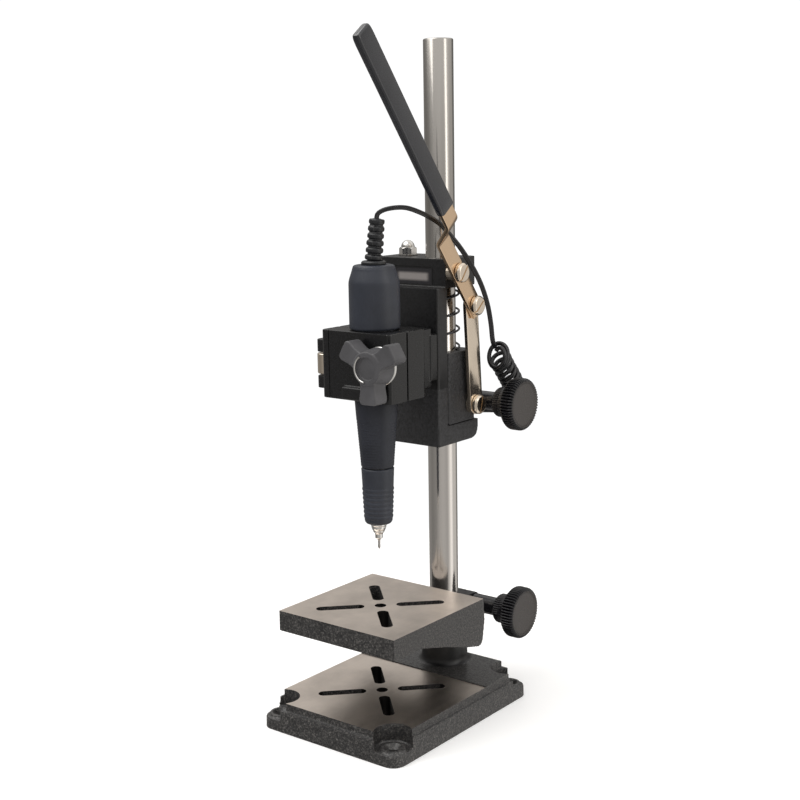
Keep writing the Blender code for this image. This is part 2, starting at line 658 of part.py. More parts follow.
RELIEF_LEAN = Vector((0.078, 0.060, 1.0)).normalized()
RELIEF_BASE = Vector((0.0, SPINDLE_Y, 0.2868))
RELIEF_LONG = 0.0255


def strain_relief():
    """Flange and collar in the cap's hole, with a ribbed bending sleeve that leans with the cord."""
    flange = turned([(0, 0.2872), (0.0068, 0.2872), (0.0075, 0.2866), (0.0075, 0.2853), (0.0039, 0.2853),
                     (0.0039, 0.2790), (0, 0.2790)], AXIS_POINT)
    profile = [(0, RELIEF_LONG), (CORD_R + 0.0016, RELIEF_LONG)]
    ribs = 6
    pitch = RELIEF_LONG / ribs
    for rib in range(ribs):
        top = RELIEF_LONG - rib * pitch
        bulge = 0.0047 + 0.0006 * rib / ribs
        profile += [(bulge, top - 0.2 * pitch), (bulge, top - 0.7 * pitch), (0.0034, top - 0.85 * pitch)]
    profile += [(0.0034, -0.001), (0, -0.001)]
    sleeve = turned(profile, RELIEF_BASE, RELIEF_LEAN, 14)
    join(flange, sleeve)
    return finished(flange, "strain_relief", CORD_BLACK)


# ---- lever and link ---------------------------------------------------------------------------------------
def lever_matrix():
    """Takes (along the lever, across it, x) to world space, from the pivot up towards the grip."""
    up = Vector((0, -cos(LEVER_ANGLE), sin(LEVER_ANGLE)))
    across = Vector((0, sin(LEVER_ANGLE), cos(LEVER_ANGLE)))
    out = Vector((1, 0, 0))
    turn = Matrix((up, across, out)).transposed().to_4x4()
    return Matrix.Translation((0, *LEVER_PIVOT)) @ turn


def lever_strip(start, end, width, spread=0.0):
    """The bent strip, or the space it needs with spread around it."""
    low, high = LEVER_IN - spread, LEVER_IN + BAR_THICK + spread
    side = [(start, low), (0.0275, low), (0.0405, low + LEVER_JOGGLE), (end, low + LEVER_JOGGLE),
            (end, high + LEVER_JOGGLE), (0.0395, high + LEVER_JOGGLE), (0.0265, high), (start, high)]
    strip = flat_x([(a, x) for a, x in side], -width / 2 - spread, width / 2 + spread)
    # flat_x gives (x, y, z) = (across, along, x); put them in (along, across, x) order.
    swap = Matrix(((0, 1, 0), (1, 0, 0), (0, 0, 1))).to_4x4()
    strip.data.transform(lever_matrix() @ swap)
    return strip


def lever_bar():
    bar = lever_strip(-LEVER_CRANK - BAR_WIDTH / 2, 0.064, BAR_WIDTH)
    y, z = LEVER_PIVOT
    cut(bar, rod((0.01, y, z), (0.03, y, z), 0.0028, sides=20))
    y, z = lower_screw_spot()
    cut(bar, rod((0.01, y, z), (0.03, y, z), 0.0019, sides=20))
    return finished(bar, "lever_bar", NICKEL, (0, *LEVER_PIVOT))


def lever_grip():
    x = LEVER_IN + LEVER_JOGGLE + BAR_THICK / 2
    bm = bmesh.new()
    bmesh.ops.create_cube(bm, size=1.0)
    bmesh.ops.scale(bm, vec=(GRIP_END - GRIP_START, 0.0136, 0.0056), verts=bm.verts)
    bmesh.ops.translate(bm, vec=((GRIP_START + GRIP_END) / 2, 0, x), verts=bm.verts)
    tip = [e for e in bm.edges if runs_along(e, "Z") and min(v.co.x for v in e.verts) > GRIP_END - 0.001]
    bmesh.ops.bevel(bm, geom=tip, offset=0.005, segments=4, profile=0.5, affect="EDGES")
    long = [e for e in bm.edges if max(v.co.x for v in e.verts) > GRIP_START + 0.01]
    bmesh.ops.bevel(bm, geom=long, offset=0.0016, segments=2, profile=0.5, affect="EDGES")
    bmesh.ops.transform(bm, matrix=lever_matrix(), verts=bm.verts)
    grip = from_bmesh(bm)
    cut(grip, lever_strip(0.03, 0.0645, BAR_WIDTH, GAP))
    return finished(grip, "lever_grip", BLACK_PLASTIC, (0, *LEVER_PIVOT))


def lower_screw_spot():
    y, z = LEVER_PIVOT
    return y + LEVER_CRANK * cos(LEVER_ANGLE), z - LEVER_CRANK * sin(LEVER_ANGLE)


def link_bar():
    """Flat link with round ends; its upper hole is wide, because the chain is open there."""
    (y0, z0), (y1, z1) = LINK_ANCHOR, lower_screw_spot()
    slope = atan2(z1 - z0, y1 - y0)
    long = hypot(y1 - y0, z1 - z0)
    half = LINK_WIDTH / 2
    outline = []
    for centre, start in ((0.0, pi / 2), (long, -pi / 2)):
        for i in range(9):
            angle = start + pi * i / 8
            along, across = centre + half * cos(angle), half * sin(angle)
            outline.append((y0 + along * cos(slope) - across * sin(slope),
                            z0 + along * sin(slope) + across * cos(slope)))
    link = flat_x(outline, LINK_IN, LINK_IN + BAR_THICK)
    cut(link, rod((0, y0, z0), (0.03, y0, z0), 0.0025, sides=20))
    cut(link, rod((0, y1, z1), (0.03, y1, z1), 0.0042, sides=24))
    return finished(link, "link_bar", NICKEL, (0, *LINK_ANCHOR))


# ---- cord ---------------------------------------------------------------------------------------------
CORD_LEAVES = RELIEF_BASE + RELIEF_LEAN * (RELIEF_LONG + GAP)
LEAD_ROUTE = [tuple(CORD_LEAVES + RELIEF_LEAN * 0.002),
              (0.0046, -0.0636, 0.3166), (0.0088, -0.0600, 0.3180), (0.0138, -0.0530, 0.3180),
              (0.0180, -0.0430, 0.3145), (0.0200, -0.0330, 0.3100), (0.0195, -0.0235, 0.3055),
              (0.0190, -0.0155, 0.2998), (0.0205, -0.0080, 0.2925), (0.0240, -0.0030, 0.2835),
              (0.0256, 0.0072, 0.2690), (0.0256, 0.0148, 0.2550), (0.0252, 0.0192, 0.2420),
              (0.0240, 0.0230, 0.2305), (0.0230, 0.0270, 0.2255)]
CURLY_ROUTE = [(0.0226, 0.0290, 0.2232), (0.0232, 0.0330, 0.2170), (0.0243, 0.0375, 0.2098),
               (0.0246, 0.0430, 0.2030), (0.0244, 0.0475, 0.1960), (0.0232, 0.0500, 0.1885)]
TAIL_ROUTE = [(0.0226, 0.0508, 0.1862), (0.0190, 0.0515, 0.1815), (0.0110, 0.0480, 0.1800),
              (0.0000, 0.0430, 0.1795), (-0.0110, 0.0390, 0.1765), (-0.0190, 0.0350, 0.1690),
              (-0.0235, 0.0325, 0.1560), (-0.0250, 0.0312, 0.1380), (-0.0252, 0.0310, 0.1100),
              (-0.0252, 0.0312, 0.0800), (-0.0252, 0.0318, 0.0500), (-0.0256, 0.0328, 0.0280),
              (-0.0270, 0.0345, 0.0130), (-0.0305, 0.0377, 0.0055), (-0.0365, 0.0418, 0.0022),
              (-0.0430, 0.0445, 0.0019), (-0.0498, 0.0452, 0.0019)]
COIL_CENTRE = (-0.062, 0.064)
COIL_MEAN_R = 0.0172
COIL_TOP = 0.0070            # two layers of turns
PLUG_TIP = Vector((-0.0808, 0.0785, 0.0052))
PLUG_WAY = Vector((0.0, 1.0, 0.0))


def cord_lead():
    """It starts square to the strain relief's end, then arches back over the frame."""
    return finished(wire([CORD_LEAVES, *smooth_route(LEAD_ROUTE, 0.006)], CORD_R), "cord_lead", CORD_BLACK)


def curly_cord():
    return finished(wire(smooth_route(CURLY_ROUTE, 0.006), CURLY_R, 4), "curly_cord", CORD_BLACK)


def cord_tail():
    return finished(wire(smooth_route(TAIL_ROUTE, 0.0095), CORD_R), "cord_tail", CORD_BLACK)


def cord_coil():
    coil = ring(0.0, COIL_TOP, COIL_MEAN_R - 2 * CORD_R, COIL_MEAN_R + 2 * CORD_R, COIL_CENTRE, 32)
    return finished(coil, "cord_coil", CORD_BLACK)


def cord_plug():
    """Round connector lying beside the coil, with a tapered sleeve towards the cord."""
    plug = turned([(0, 0.040), (0.0044, 0.040), (0.0044, 0.029), (0.0051, 0.028), (0.0051, 0.015),
                   (0.0030, 0.011), (0.0024, 0.0), (0, 0.0)], PLUG_TIP, PLUG_WAY, 20)
    return finished(plug, "cord_plug", BLACK_PLASTIC)


def build():
    base_casting()
    column()
    column_set_screw()

    work_table()
    clamp_nut("table_clamp_nut", TABLE_SCREW_Z + 0.0003)
    clamp_stud("table_clamp_stud", TABLE_SCREW_Z + 0.0003)
    clamp_knob("table_knob", TABLE_SCREW_Z + 0.0003)

    head_collar()
    clamp_nut("head_clamp_nut", COLLAR_SCREW_Z)
    clamp_stud("head_clamp_stud", COLLAR_SCREW_Z)
    clamp_knob("head_knob", COLLAR_SCREW_Z)
    return_spring()
    slotted_screw("link_anchor_screw", LINK_ANCHOR, 0.0089, LINK_IN + BAR_THICK + GAP, 0.0022)
    washer("link_washer", LINK_ANCHOR, 0.0155, LINK_IN - GAP, 0.0025, 0.0060)

    head_frame()
    label_plate()
    guide_rod()
    guide_rod_nut()
    slotted_screw("lever_pivot_screw", LEVER_PIVOT, 0.0070, LEVER_IN + BAR_THICK + GAP, 0.0025)
    washer("lever_spacer", LEVER_PIVOT, FRAME_RIGHT + GAP, LEVER_IN - GAP, 0.0028, 0.0052)

    clamp_bracket()
    bracket_screw("bracket_screw_left", -0.028)
    bracket_screw("bracket_screw_right", 0.004)
    hinge_pin()
    clamp_jaw()
    star_washer()
    star_stud()
    star_knob()

    drill_bit()
    collet()
    spindle_shaft()
    motor_rotor()
    nose_ring()
    handpiece_rings()
    grip_sleeve()
    motor_housing()
    rear_cap()
    strain_relief()

    lever_bar()
    lever_grip()
    slotted_screw("lever_link_screw", lower_screw_spot(), 0.0162, LEVER_IN + BAR_THICK + GAP, 0.0016)
    link_bar()

    cord_lead()
    curly_cord()
    cord_tail()
    cord_coil()
    cord_plug()


build()
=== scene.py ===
"""Looks of the bench stand with its clamped rotary handpiece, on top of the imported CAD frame.

Units are metres, +Z is up, the column is the Z axis and the handpiece hangs in front of it at -Y.
"""
from math import atan2, cos, hypot, pi, radians, sin, sqrt

import bmesh
import bpy
from mathutils import Matrix, Vector


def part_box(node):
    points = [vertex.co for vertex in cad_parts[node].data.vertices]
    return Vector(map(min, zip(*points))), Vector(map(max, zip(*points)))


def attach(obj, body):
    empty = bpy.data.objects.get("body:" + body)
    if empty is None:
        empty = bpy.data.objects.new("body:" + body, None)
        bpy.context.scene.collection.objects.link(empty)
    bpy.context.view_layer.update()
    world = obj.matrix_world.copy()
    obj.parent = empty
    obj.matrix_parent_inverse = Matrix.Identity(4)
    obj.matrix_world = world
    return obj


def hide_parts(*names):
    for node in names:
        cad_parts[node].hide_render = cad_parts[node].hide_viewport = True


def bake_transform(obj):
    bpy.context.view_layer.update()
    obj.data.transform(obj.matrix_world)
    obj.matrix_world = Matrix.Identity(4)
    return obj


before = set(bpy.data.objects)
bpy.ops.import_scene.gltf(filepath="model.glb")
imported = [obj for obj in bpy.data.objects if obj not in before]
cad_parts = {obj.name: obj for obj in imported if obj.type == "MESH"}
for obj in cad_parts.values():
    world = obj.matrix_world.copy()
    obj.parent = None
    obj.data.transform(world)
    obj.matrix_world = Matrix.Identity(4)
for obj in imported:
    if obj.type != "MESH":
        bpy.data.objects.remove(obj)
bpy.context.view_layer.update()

# ---- dimensions shared with the CAD ----
COLUMN_R = 0.00936
COLUMN_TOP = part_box("column")[1].z
BASE_LOW, BASE_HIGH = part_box("base_casting")
BASE_EDGE_Z = 0.0135
PLATEAU_INSET = 0.0029
PLATEAU_Z = 0.01826
BOSS_TOP = BASE_HIGH.z
LUG_Z = 0.007
LUG_INSET = 0.0095
LUG_NOTCH_R = 0.0115
MACHINED_REAR = -0.0257      # the base is machined in front of this line and left as cast behind it

SPINDLE_Y = -0.0668
TABLE_X = 0.045
TABLE_FRONT = -0.1105
TABLE_REAR = -0.0196
TABLE_TOP = 0.0737
HUB_SCREW_Y = 0.0235
TABLE_SCREW_Z = 0.0524
COLLAR_SCREW_Z = 0.1912

FRAME_LOW = 0.168
FRAME_STEP = 0.180
FRAME_LINTEL = 0.267
FRAME_TOP = 0.285
FRAME_LEFT = -0.040
FRAME_RIGHT = 0.0155
FRAME_FRONT = -0.0246
FRAME_PLATE_REAR = -0.014
FRAME_REAR = 0.018
LINTEL_FRONT = -0.016
COLLAR_TOP = 0.226
ROD_X, ROD_Y, ROD_R = -0.0265, 0.0009, 0.003

LEVER_ANGLE = radians(52.5)
LEVER_PIVOT = (-0.0111, 0.2768)
LEVER_CRANK = 0.0275
LEVER_IN = 0.0204
BAR_THICK = 0.0025
BAR_WIDTH = 0.012
JOGGLE = 0.0131
JOGGLE_START, JOGGLE_END = 0.0275, 0.0405
GRIP_START, GRIP_END = 0.0506, 0.174
LINK_ANCHOR = (0.0104, COLLAR_SCREW_Z - 0.0004)
LINK_IN = 0.0176

CLAMP_LOW, CLAMP_TOP = 0.205, 0.2465
CLAMP_BORE_R = 0.0135
CLAMP_X, CLAMP_LEFT = 0.0245, -0.0285
HINGE = (-0.0330, -0.0735)
STAR_X, STAR_Z = 0.0185, 0.228
FRAME_SCREW_X, FRAME_SCREW_Z = (-0.028, 0.004), 0.2257
LABEL_X, LABEL_Z = -0.0093, 0.2740

RELIEF_LEAN = Vector((0.078, 0.060, 1.0)).normalized()
RELIEF_BASE = Vector((0.0, SPINDLE_Y, 0.2868))
RELIEF_LONG = 0.0255
CORD_LEAVES = RELIEF_BASE + RELIEF_LEAN * (RELIEF_LONG + 0.0003)
CORD_D = 0.0032
AXIS = (0, SPINDLE_Y, 0)
COLLECTION = bpy.context.scene.collection

# The grey of the walls round the object, by the share of a full turn.
WALL_GREYS = ((0.0, 0.28), (0.10, 0.22), (0.20, 0.28), (0.27, 0.44), (0.36, 0.50), (0.45, 0.42), (0.49, 0.70),
              (0.525, 1.15), (0.56, 1.15), (0.59, 0.62), (0.68, 0.66), (0.73, 0.20), (0.84, 0.12),
              (0.88, 0.28), (1.0, 0.28))


# ---- shader node helpers ----
def add_node(tree, kind, inputs=()):
    """A new shader node. An input given as another node's output is linked, any other is its value."""
    made = tree.nodes.new("ShaderNode" + kind)
    for name, value in dict(inputs).items():
        if isinstance(value, bpy.types.NodeSocket):
            tree.links.new(value, made.inputs[name])
        else:
            made.inputs[name].default_value = value
    return made


def math_node(tree, operation, *values):
    made = add_node(tree, "Math", enumerate(values))
    made.operation = operation
    return made.outputs["Value"]


def colour_ramp(tree, factor, stops):
    """Colours along a factor, from (place, colour) stops."""
    made = add_node(tree, "ValToRGB", {"Fac": factor})
    elements = made.color_ramp.elements
    for element, (place, colour) in zip(elements, (stops[0], stops[-1])):
        element.position, element.color = place, (*colour, 1)
    for place, colour in stops[1:-1]:
        elements.new(place).color = (*colour, 1)
    return made.outputs["Color"]


# ---- camera and light ----
def camera():
    """A long lens from the front right, a little above the handpiece."""
    azimuth, drop, roll = radians(38.15), radians(10.35), radians(-0.95)
    target = Vector((-0.02123, -0.01668, 0.19354))
    distance = 0.86597
    right = Vector((cos(azimuth), sin(azimuth), 0))
    ahead = Vector((-sin(azimuth) * cos(drop), cos(azimuth) * cos(drop), -sin(drop)))
    up = right.cross(ahead)
    level, tall = right * cos(roll) + up * sin(roll), up * cos(roll) - right * sin(roll)
    data = bpy.data.cameras.new("camera")
    data.lens = 60.56
    data.sensor_width = 36.0
    data.clip_start = 0.02
    data.clip_end = 20.0
    obj = bpy.data.objects.new("camera", data)
    COLLECTION.objects.link(obj)
    turn = Matrix((level, tall, -ahead)).transposed().to_4x4()
    obj.matrix_world = Matrix.Translation(target - ahead * distance) @ turn
    bpy.context.scene.camera = obj


def softbox(name, spot, aim, width, height, power, tint=(1.0, 1.0, 1.0), mirrored=True):
    """A rectangular light; mirrored says whether reflections show it."""
    data = bpy.data.lights.new(name, "AREA")
    data.shape = "RECTANGLE"
    data.size = width
    data.size_y = height
    data.energy = power
    data.color = tint
    obj = bpy.data.objects.new(name, data)
    COLLECTION.objects.link(obj)
    away = Vector(spot) - Vector(aim)
    obj.location = spot
    obj.rotation_euler = away.to_track_quat("Z", "Y").to_euler()
    obj.visible_glossy = mirrored


def studio():
    """White room for the camera. The object is lit by, and mirrors, a pale ceiling over darker walls
    with one bright strip, which gives the steel its bands."""
    world = bpy.data.worlds.new("studio")
    bpy.context.scene.world = world
    world.use_nodes = True
    tree = world.node_tree
    tree.nodes.clear()
    way = add_node(tree, "TexCoord").outputs["Generated"]
    split = add_node(tree, "SeparateXYZ", {0: way})
    angle = math_node(tree, "ARCTAN2", split.outputs["Y"], split.outputs["X"])
    around = add_node(tree, "MapRange", {"Value": angle, "From Min": -pi, "From Max": pi})
    walls = colour_ramp(tree, around.outputs["Result"],
                        [(place, (grey, grey * 0.97, grey * 0.93)) for place, grey in WALL_GREYS])
    rise = add_node(tree, "MapRange", {"Value": split.outputs["Z"], "From Min": 0.25, "From Max": 0.60})
    rise.interpolation_type = "SMOOTHSTEP"
    mixed = add_node(tree, "Mix")
    mixed.data_type = "RGBA"
    mixed.inputs["B"].default_value = (1.0, 0.985, 0.965, 1)
    tree.links.new(rise.outputs["Result"], mixed.inputs["Factor"])
    tree.links.new(walls, mixed.inputs["A"])
    lit = add_node(tree, "Background", {"Color": mixed.outputs["Result"], "Strength": 1.0})
    seen = add_node(tree, "Background", {"Color": (1, 1, 1, 1), "Strength": 1.05})
    camera_ray = add_node(tree, "LightPath").outputs["Is Camera Ray"]
    pick = add_node(tree, "MixShader", {0: camera_ray, 1: lit.outputs[0], 2: seen.outputs[0]})
    add_node(tree, "OutputWorld", {"Surface": pick.outputs["Shader"]})
    bpy.context.scene.view_settings.view_transform = "Standard"

    middle = (0.0, -0.03, 0.2)
    softbox("top_box", (-0.35, -0.45, 1.15), middle, 0.9, 0.9, 5.5, (1.0, 0.985, 0.96))
    softbox("left_box", (-0.75, -1.05, 0.65), middle, 0.5, 0.9, 3.4, (0.97, 0.98, 1.0), False)
    softbox("right_box", (1.10, 0.10, 0.75), middle, 0.3, 0.9, 1.6, (1.0, 0.97, 0.93))


def floor():
    """Round pale table top."""
    bm = bmesh.new()
    bmesh.ops.create_circle(bm, cap_ends=True, segments=96, radius=0.38,
                            matrix=Matrix.Translation((0, 0, -0.0002)))
    obj = linked(bm, "floor")
    material = bpy.data.materials.new("floor")
    material.use_nodes = True
    shader = material.node_tree.nodes["Principled BSDF"]
    shader.inputs["Base Color"].default_value = (0.90, 0.90, 0.90, 1)
    shader.inputs["Roughness"].default_value = 0.9
    shader.inputs["Specular IOR Level"].default_value = 0.1
    shader.inputs["Emission Color"].default_value = (1, 1, 1, 1)
    shader.inputs["Emission Strength"].default_value = 0.22
    obj.data.materials.append(material)
    obj.visible_glossy = False


# ---- materials ----
class Look:
    """A Principled material whose colour, roughness and relief come from noise in the part's own space."""

    def __init__(self, name, colour, roughness, metallic=0.0, specular=0.5, coat=0.0, coat_roughness=0.1):
        self.material = bpy.data.materials.new(name)
        self.material.use_nodes = True
        self.tree = self.material.node_tree
        self.shader = self.tree.nodes["Principled BSDF"]
        values = {"Base Color": (*colour, 1.0), "Roughness": roughness, "Metallic": metallic,
                  "Specular IOR Level": specular, "Coat Weight": coat, "Coat Roughness": coat_roughness}
        for socket, value in values.items():
            self.shader.inputs[socket].default_value = value
        self.relief = None

    def spot(self, mapping=()):
        """Where a point lies in the part's own space, optionally moved or stretched."""
        place = add_node(self.tree, "TexCoord").outputs["Object"]
        return add_node(self.tree, "Mapping", {"Vector": place, **dict(mapping)}).outputs["Vector"]

    def along(self, axis):
        return add_node(self.tree, "SeparateXYZ", {0: self.spot()}).outputs[axis]

    def spread(self, factor, start, end, low, high):
        """Takes a factor between start and end to between low and high."""
        limits = {"From Min": start, "From Max": end, "To Min": low, "To Max": high}
        return add_node(self.tree, "MapRange", {"Value": factor, **limits})

    def noise(self, scale, detail=3.0, stretch=(1, 1, 1), rough=0.5):
        return add_node(self.tree, "TexNoise", {"Vector": self.spot({"Scale": stretch}), "Scale": scale,
                                            "Detail": detail, "Roughness": rough}).outputs["Fac"]

    def rings(self, centre, axis, scale):
        """Fine circles round an axis through a point, as turning leaves them."""
        wave = add_node(self.tree, "TexWave", {"Vector": self.spot({"Location": [-c for c in centre]}),
                                           "Scale": scale, "Distortion": 0.6, "Detail": 2.0})
        wave.wave_type = "RINGS"
        wave.rings_direction = axis
        return wave.outputs["Fac"]

    def colours(self, factor, stops):
        self.tree.links.new(colour_ramp(self.tree, factor, stops), self.shader.inputs["Base Color"])
        return self

    def roughness(self, factor, low, high):
        result = self.spread(factor, 0.3, 0.7, low, high).outputs["Result"]
        self.tree.links.new(result, self.shader.inputs["Roughness"])
        return self

    def bump(self, factor, depth, strength=1.0):
        bump = add_node(self.tree, "Bump", {"Height": factor, "Strength": strength, "Distance": depth})
        if self.relief is not None:
            self.tree.links.new(self.relief, bump.inputs["Normal"])
        self.relief = bump.outputs["Normal"]
        self.tree.links.new(self.relief, self.shader.inputs["Normal"])
        return self


def cast_paint():
    """Dark grey hammered paint on rough cast iron."""
    look = Look("hammered_paint", (0.06, 0.06, 0.062), 0.42, 0.0, 0.5, 0.5, 0.16)
    fine = look.noise(1000, 4, rough=0.7)
    look.colours(fine, [(0.38, (0.005, 0.005, 0.006)), (0.5, (0.022, 0.021, 0.021)),
                        (0.60, (0.070, 0.066, 0.062)), (0.70, (0.17, 0.16, 0.15))])
    look.roughness(look.noise(600, 3), 0.34, 0.62)
    look.bump(look.noise(300, 4, rough=0.6), 0.0008, 0.8)
    return look.bump(fine, 0.0004, 0.9).material


def machined(name, stretch, colour, rough=(0.34, 0.47)):
    """Ground or milled iron: fine parallel marks, and a faint cloudiness."""
    look = Look(name, colour, 0.4, 1.0)
    marks = look.noise(420, 5, stretch, 0.7)
    cloud = look.noise(38, 4, (1, 1, 1), 0.6)
    dark = tuple(c * 0.80 for c in colour)
    look.colours(cloud, [(0.32, dark), (0.62, colour)])
    look.roughness(marks, *rough)
    return look.bump(marks, 0.00004, 0.5).material


def polished(name, colour, rough=(0.10, 0.20), stretch=(1, 1, 0.02)):
    look = Look(name, colour, 0.15, 1.0)
    marks = look.noise(900, 4, stretch, 0.6)
    look.roughness(marks, *rough)
    return look.bump(marks, 0.00001, 0.35).material


def column_steel():
    """Drawn steel bar with fine marks along it. Its upper part is painted darker: painted shade
    standing in for the dimmer reflection it shows there, not a colour of the steel."""
    look = Look("drawn_steel", (0.7, 0.68, 0.65), 0.15, 1.0)
    marks = look.noise(900, 4, (1, 1, 0.02), 0.6)
    # painted shade: the colour runs from the lower steel tone to a dim grey towards the column's top
    height = look.spread(look.along("Z"), 0.17, 0.33, 0.0, 1.0)
    look.colours(height.outputs["Result"], [(0.0, (0.72, 0.69, 0.66)), (1.0, (0.43, 0.41, 0.385))])
    look.roughness(marks, 0.12, 0.22)
    return look.bump(marks, 0.00001, 0.35).material


def black_paint(name, scale, depth, base=0.018, gloss=(0.30, 0.46)):
    look = Look(name, (base, base, base * 1.1), 0.4, 0.0, 0.5)
    fine = look.noise(scale, 4, rough=0.6)
    look.colours(fine, [(0.3, (base * 0.7,) * 3), (0.7, (base * 1.7, base * 1.7, base * 1.9))])
    look.roughness(look.noise(scale * 0.4, 3), *gloss)
    return look.bump(fine, depth, 0.8).material


def moulded(name, colour, rough, scale=1600, depth=0.00008, specular=0.5):
    look = Look(name, colour, rough, 0.0, specular)
    fine = look.noise(scale, 3, rough=0.6)
    cloud = look.noise(60, 2)
    low = tuple(c * 0.85 for c in colour)
    high = tuple(c * 1.15 for c in colour)
    look.colours(cloud, [(0.35, low), (0.65, high)])
    look.roughness(fine, rough * 0.88, rough * 1.15)
    return look.bump(fine, depth, 0.6).material


MATERIALS = {
    "cast": cast_paint(),
    "ground": machined("ground_iron", (1, 0.05, 1), (0.76, 0.675, 0.60), (0.28, 0.40)),
    "slot": machined("milled_slot", (1, 1, 0.1), (0.030, 0.028, 0.027), (0.5, 0.65)),
    "boss": black_paint("boss_paint", 500, 0.00004, 0.007, (0.34, 0.46)),
    "column": column_steel(),
    "chrome": polished("polished_steel", (0.70, 0.68, 0.65), (0.12, 0.24)),
    "bright": polished("bright_chrome", (0.80, 0.79, 0.77), (0.05, 0.11), (1, 1, 1)),
    "nickel": polished("nickel_plate", (0.84, 0.73, 0.60), (0.15, 0.27), (1, 0.05, 0.05)),
    "bar": polished("tan_nickel_plate", (0.76, 0.56, 0.38), (0.15, 0.27), (1, 0.05, 0.05)),
    "screw": polished("nickel_screw", (0.80, 0.70, 0.58), (0.13, 0.24), (1, 1, 1)),
    "steel": polished("satin_steel", (0.50, 0.48, 0.46), (0.28, 0.40), (1, 1, 1)),
    "dark_steel": polished("blackened_steel", (0.07, 0.07, 0.075), (0.25, 0.4), (1, 1, 1)),
    "copper": polished("copper_winding", (0.55, 0.27, 0.15), (0.3, 0.4), (1, 1, 1)),
    "frame": black_paint("frame_paint", 700, 0.00012, 0.008),
    "crinkle": black_paint("crinkle_paint", 560, 0.0009, 0.020, (0.34, 0.56)),
    "clamp": black_paint("clamp_paint", 900, 0.00003, 0.006, (0.24, 0.34)),
    "star": moulded("star_nylon", (0.074, 0.073, 0.078), 0.46, 1300, 0.00012),
    "shell": moulded("handpiece_shell", (0.026, 0.030, 0.042), 0.44, 1900, 0.00005),
    "grip": moulded("grip_sleeve", (0.018, 0.020, 0.028), 0.46, 1900, 0.00005, 0.4),
    "relief": moulded("bend_relief", (0.012, 0.013, 0.015), 0.36, 1500, 0.00006),
    "knob": moulded("knob_plastic", (0.010, 0.010, 0.012), 0.17, 1500, 0.00006),
    "cord": moulded("cord_jacket", (0.010, 0.010, 0.012), 0.27, 900, 0.00003, 0.6),
    "plug": moulded("plug_body", (0.022, 0.022, 0.024), 0.38, 1500, 0.00006),
}


def label_material():
    """Dark satin plate with a soft pale blank patch."""
    look = Look("blank_label", (0.03, 0.03, 0.033), 0.36)
    shares = []
    for axis, middle, half, soft in (("X", -0.0098, 0.0132, 0.0034), ("Z", 0.2737, 0.0034, 0.0022)):
        offset = math_node(look.tree, "SUBTRACT", look.along(axis), middle)
        share = look.spread(math_node(look.tree, "ABSOLUTE", offset), half, half - soft, 0.0, 1.0)
        share.interpolation_type = "SMOOTHSTEP"
        shares.append(share.outputs["Result"])
    patch = math_node(look.tree, "MULTIPLY", *shares)
    look.colours(patch, [(0.0, (0.022, 0.021, 0.024)), (1.0, (0.30, 0.275, 0.265))])
    return look.bump(look.noise(1500, 3), 0.00003, 0.5).material


def knob_face_material():
    look = Look("knob_face", (0.10, 0.093, 0.090), 0.30, 0.8)
    for z in (TABLE_SCREW_Z, COLLAR_SCREW_Z):
        look.bump(look.rings((0, HUB_SCREW_Y, z), "X", 520), 0.00002, 0.25)
    look.roughness(look.noise(60, 2), 0.25, 0.31)
    return look.material


def vinyl():
    """Glossy dipped grip, with slight waviness."""
    look = Look("dipped_vinyl", (0.012, 0.013, 0.017), 0.22, 0.0, 0.5, 0.6, 0.08)
    cloud = look.noise(45, 3)
    look.colours(cloud, [(0.35, (0.008, 0.009, 0.013)), (0.65, (0.015, 0.016, 0.021))])
    look.roughness(look.noise(240, 3), 0.16, 0.26)
    return look.bump(look.noise(160, 2), 0.00010, 0.3).material


MATERIALS["plate"] = label_material()
MATERIALS["face"] = knob_face_material()
MATERIALS["vinyl"] = vinyl()


# ---- mesh helpers ----
def linked(bm, name="shape"):
    mesh = bpy.data.meshes.new(name)
    bm.to_mesh(mesh)
    bm.free()
    obj = bpy.data.objects.new(name, mesh)
    COLLECTION.objects.link(obj)
    return obj


def as_object(bm):
    bmesh.ops.recalc_face_normals(bm, faces=bm.faces)
    return linked(bm)


def aligned(spot, direction):
    """Takes the Z axis to a direction, and the origin to a spot."""
    turn = Vector((0, 0, 1)).rotation_difference(Vector(direction))
    return Matrix.Translation(spot) @ turn.to_matrix().to_4x4()


def turned(obj, spot, angle, axis="Z"):
    """The same object, turned about an axis and then carried from the origin to a spot."""
    obj.data.transform(Matrix.Translation(spot) @ Matrix.Rotation(angle, 4, axis))
    return obj


def baked(obj):
    """The same object with its modifiers worked into its mesh."""
    depsgraph = bpy.context.evaluated_depsgraph_get()
    mesh = bpy.data.meshes.new_from_object(obj.evaluated_get(depsgraph))
    old = obj.data
    obj.modifiers.clear()
    obj.data = mesh
    bpy.data.meshes.remove(old)
    return obj


def block(low, high, radius=0.0, along=None, segments=4, where=None):
    """A box whose edges, or only those along one axis, are rounded; where picks them by middle point."""
    low, high = Vector(low), Vector(high)
    bm = bmesh.new()
    bmesh.ops.create_cube(bm, size=1.0)
    bmesh.ops.scale(bm, vec=high - low, verts=bm.verts)
    bmesh.ops.translate(bm, vec=(low + high) / 2, verts=bm.verts)
    if radius:
        edges = []
        for edge in bm.edges:
            way = (edge.verts[1].co - edge.verts[0].co).normalized()
            middle = (edge.verts[0].co + edge.verts[1].co) / 2
            if (along is None or abs(way["XYZ".index(along)]) > 0.99) and (where is None or where(middle)):
                edges.append(edge)
        bmesh.ops.bevel(bm, geom=edges, offset=radius, segments=segments, profile=0.5, affect="EDGES")
    return as_object(bm)


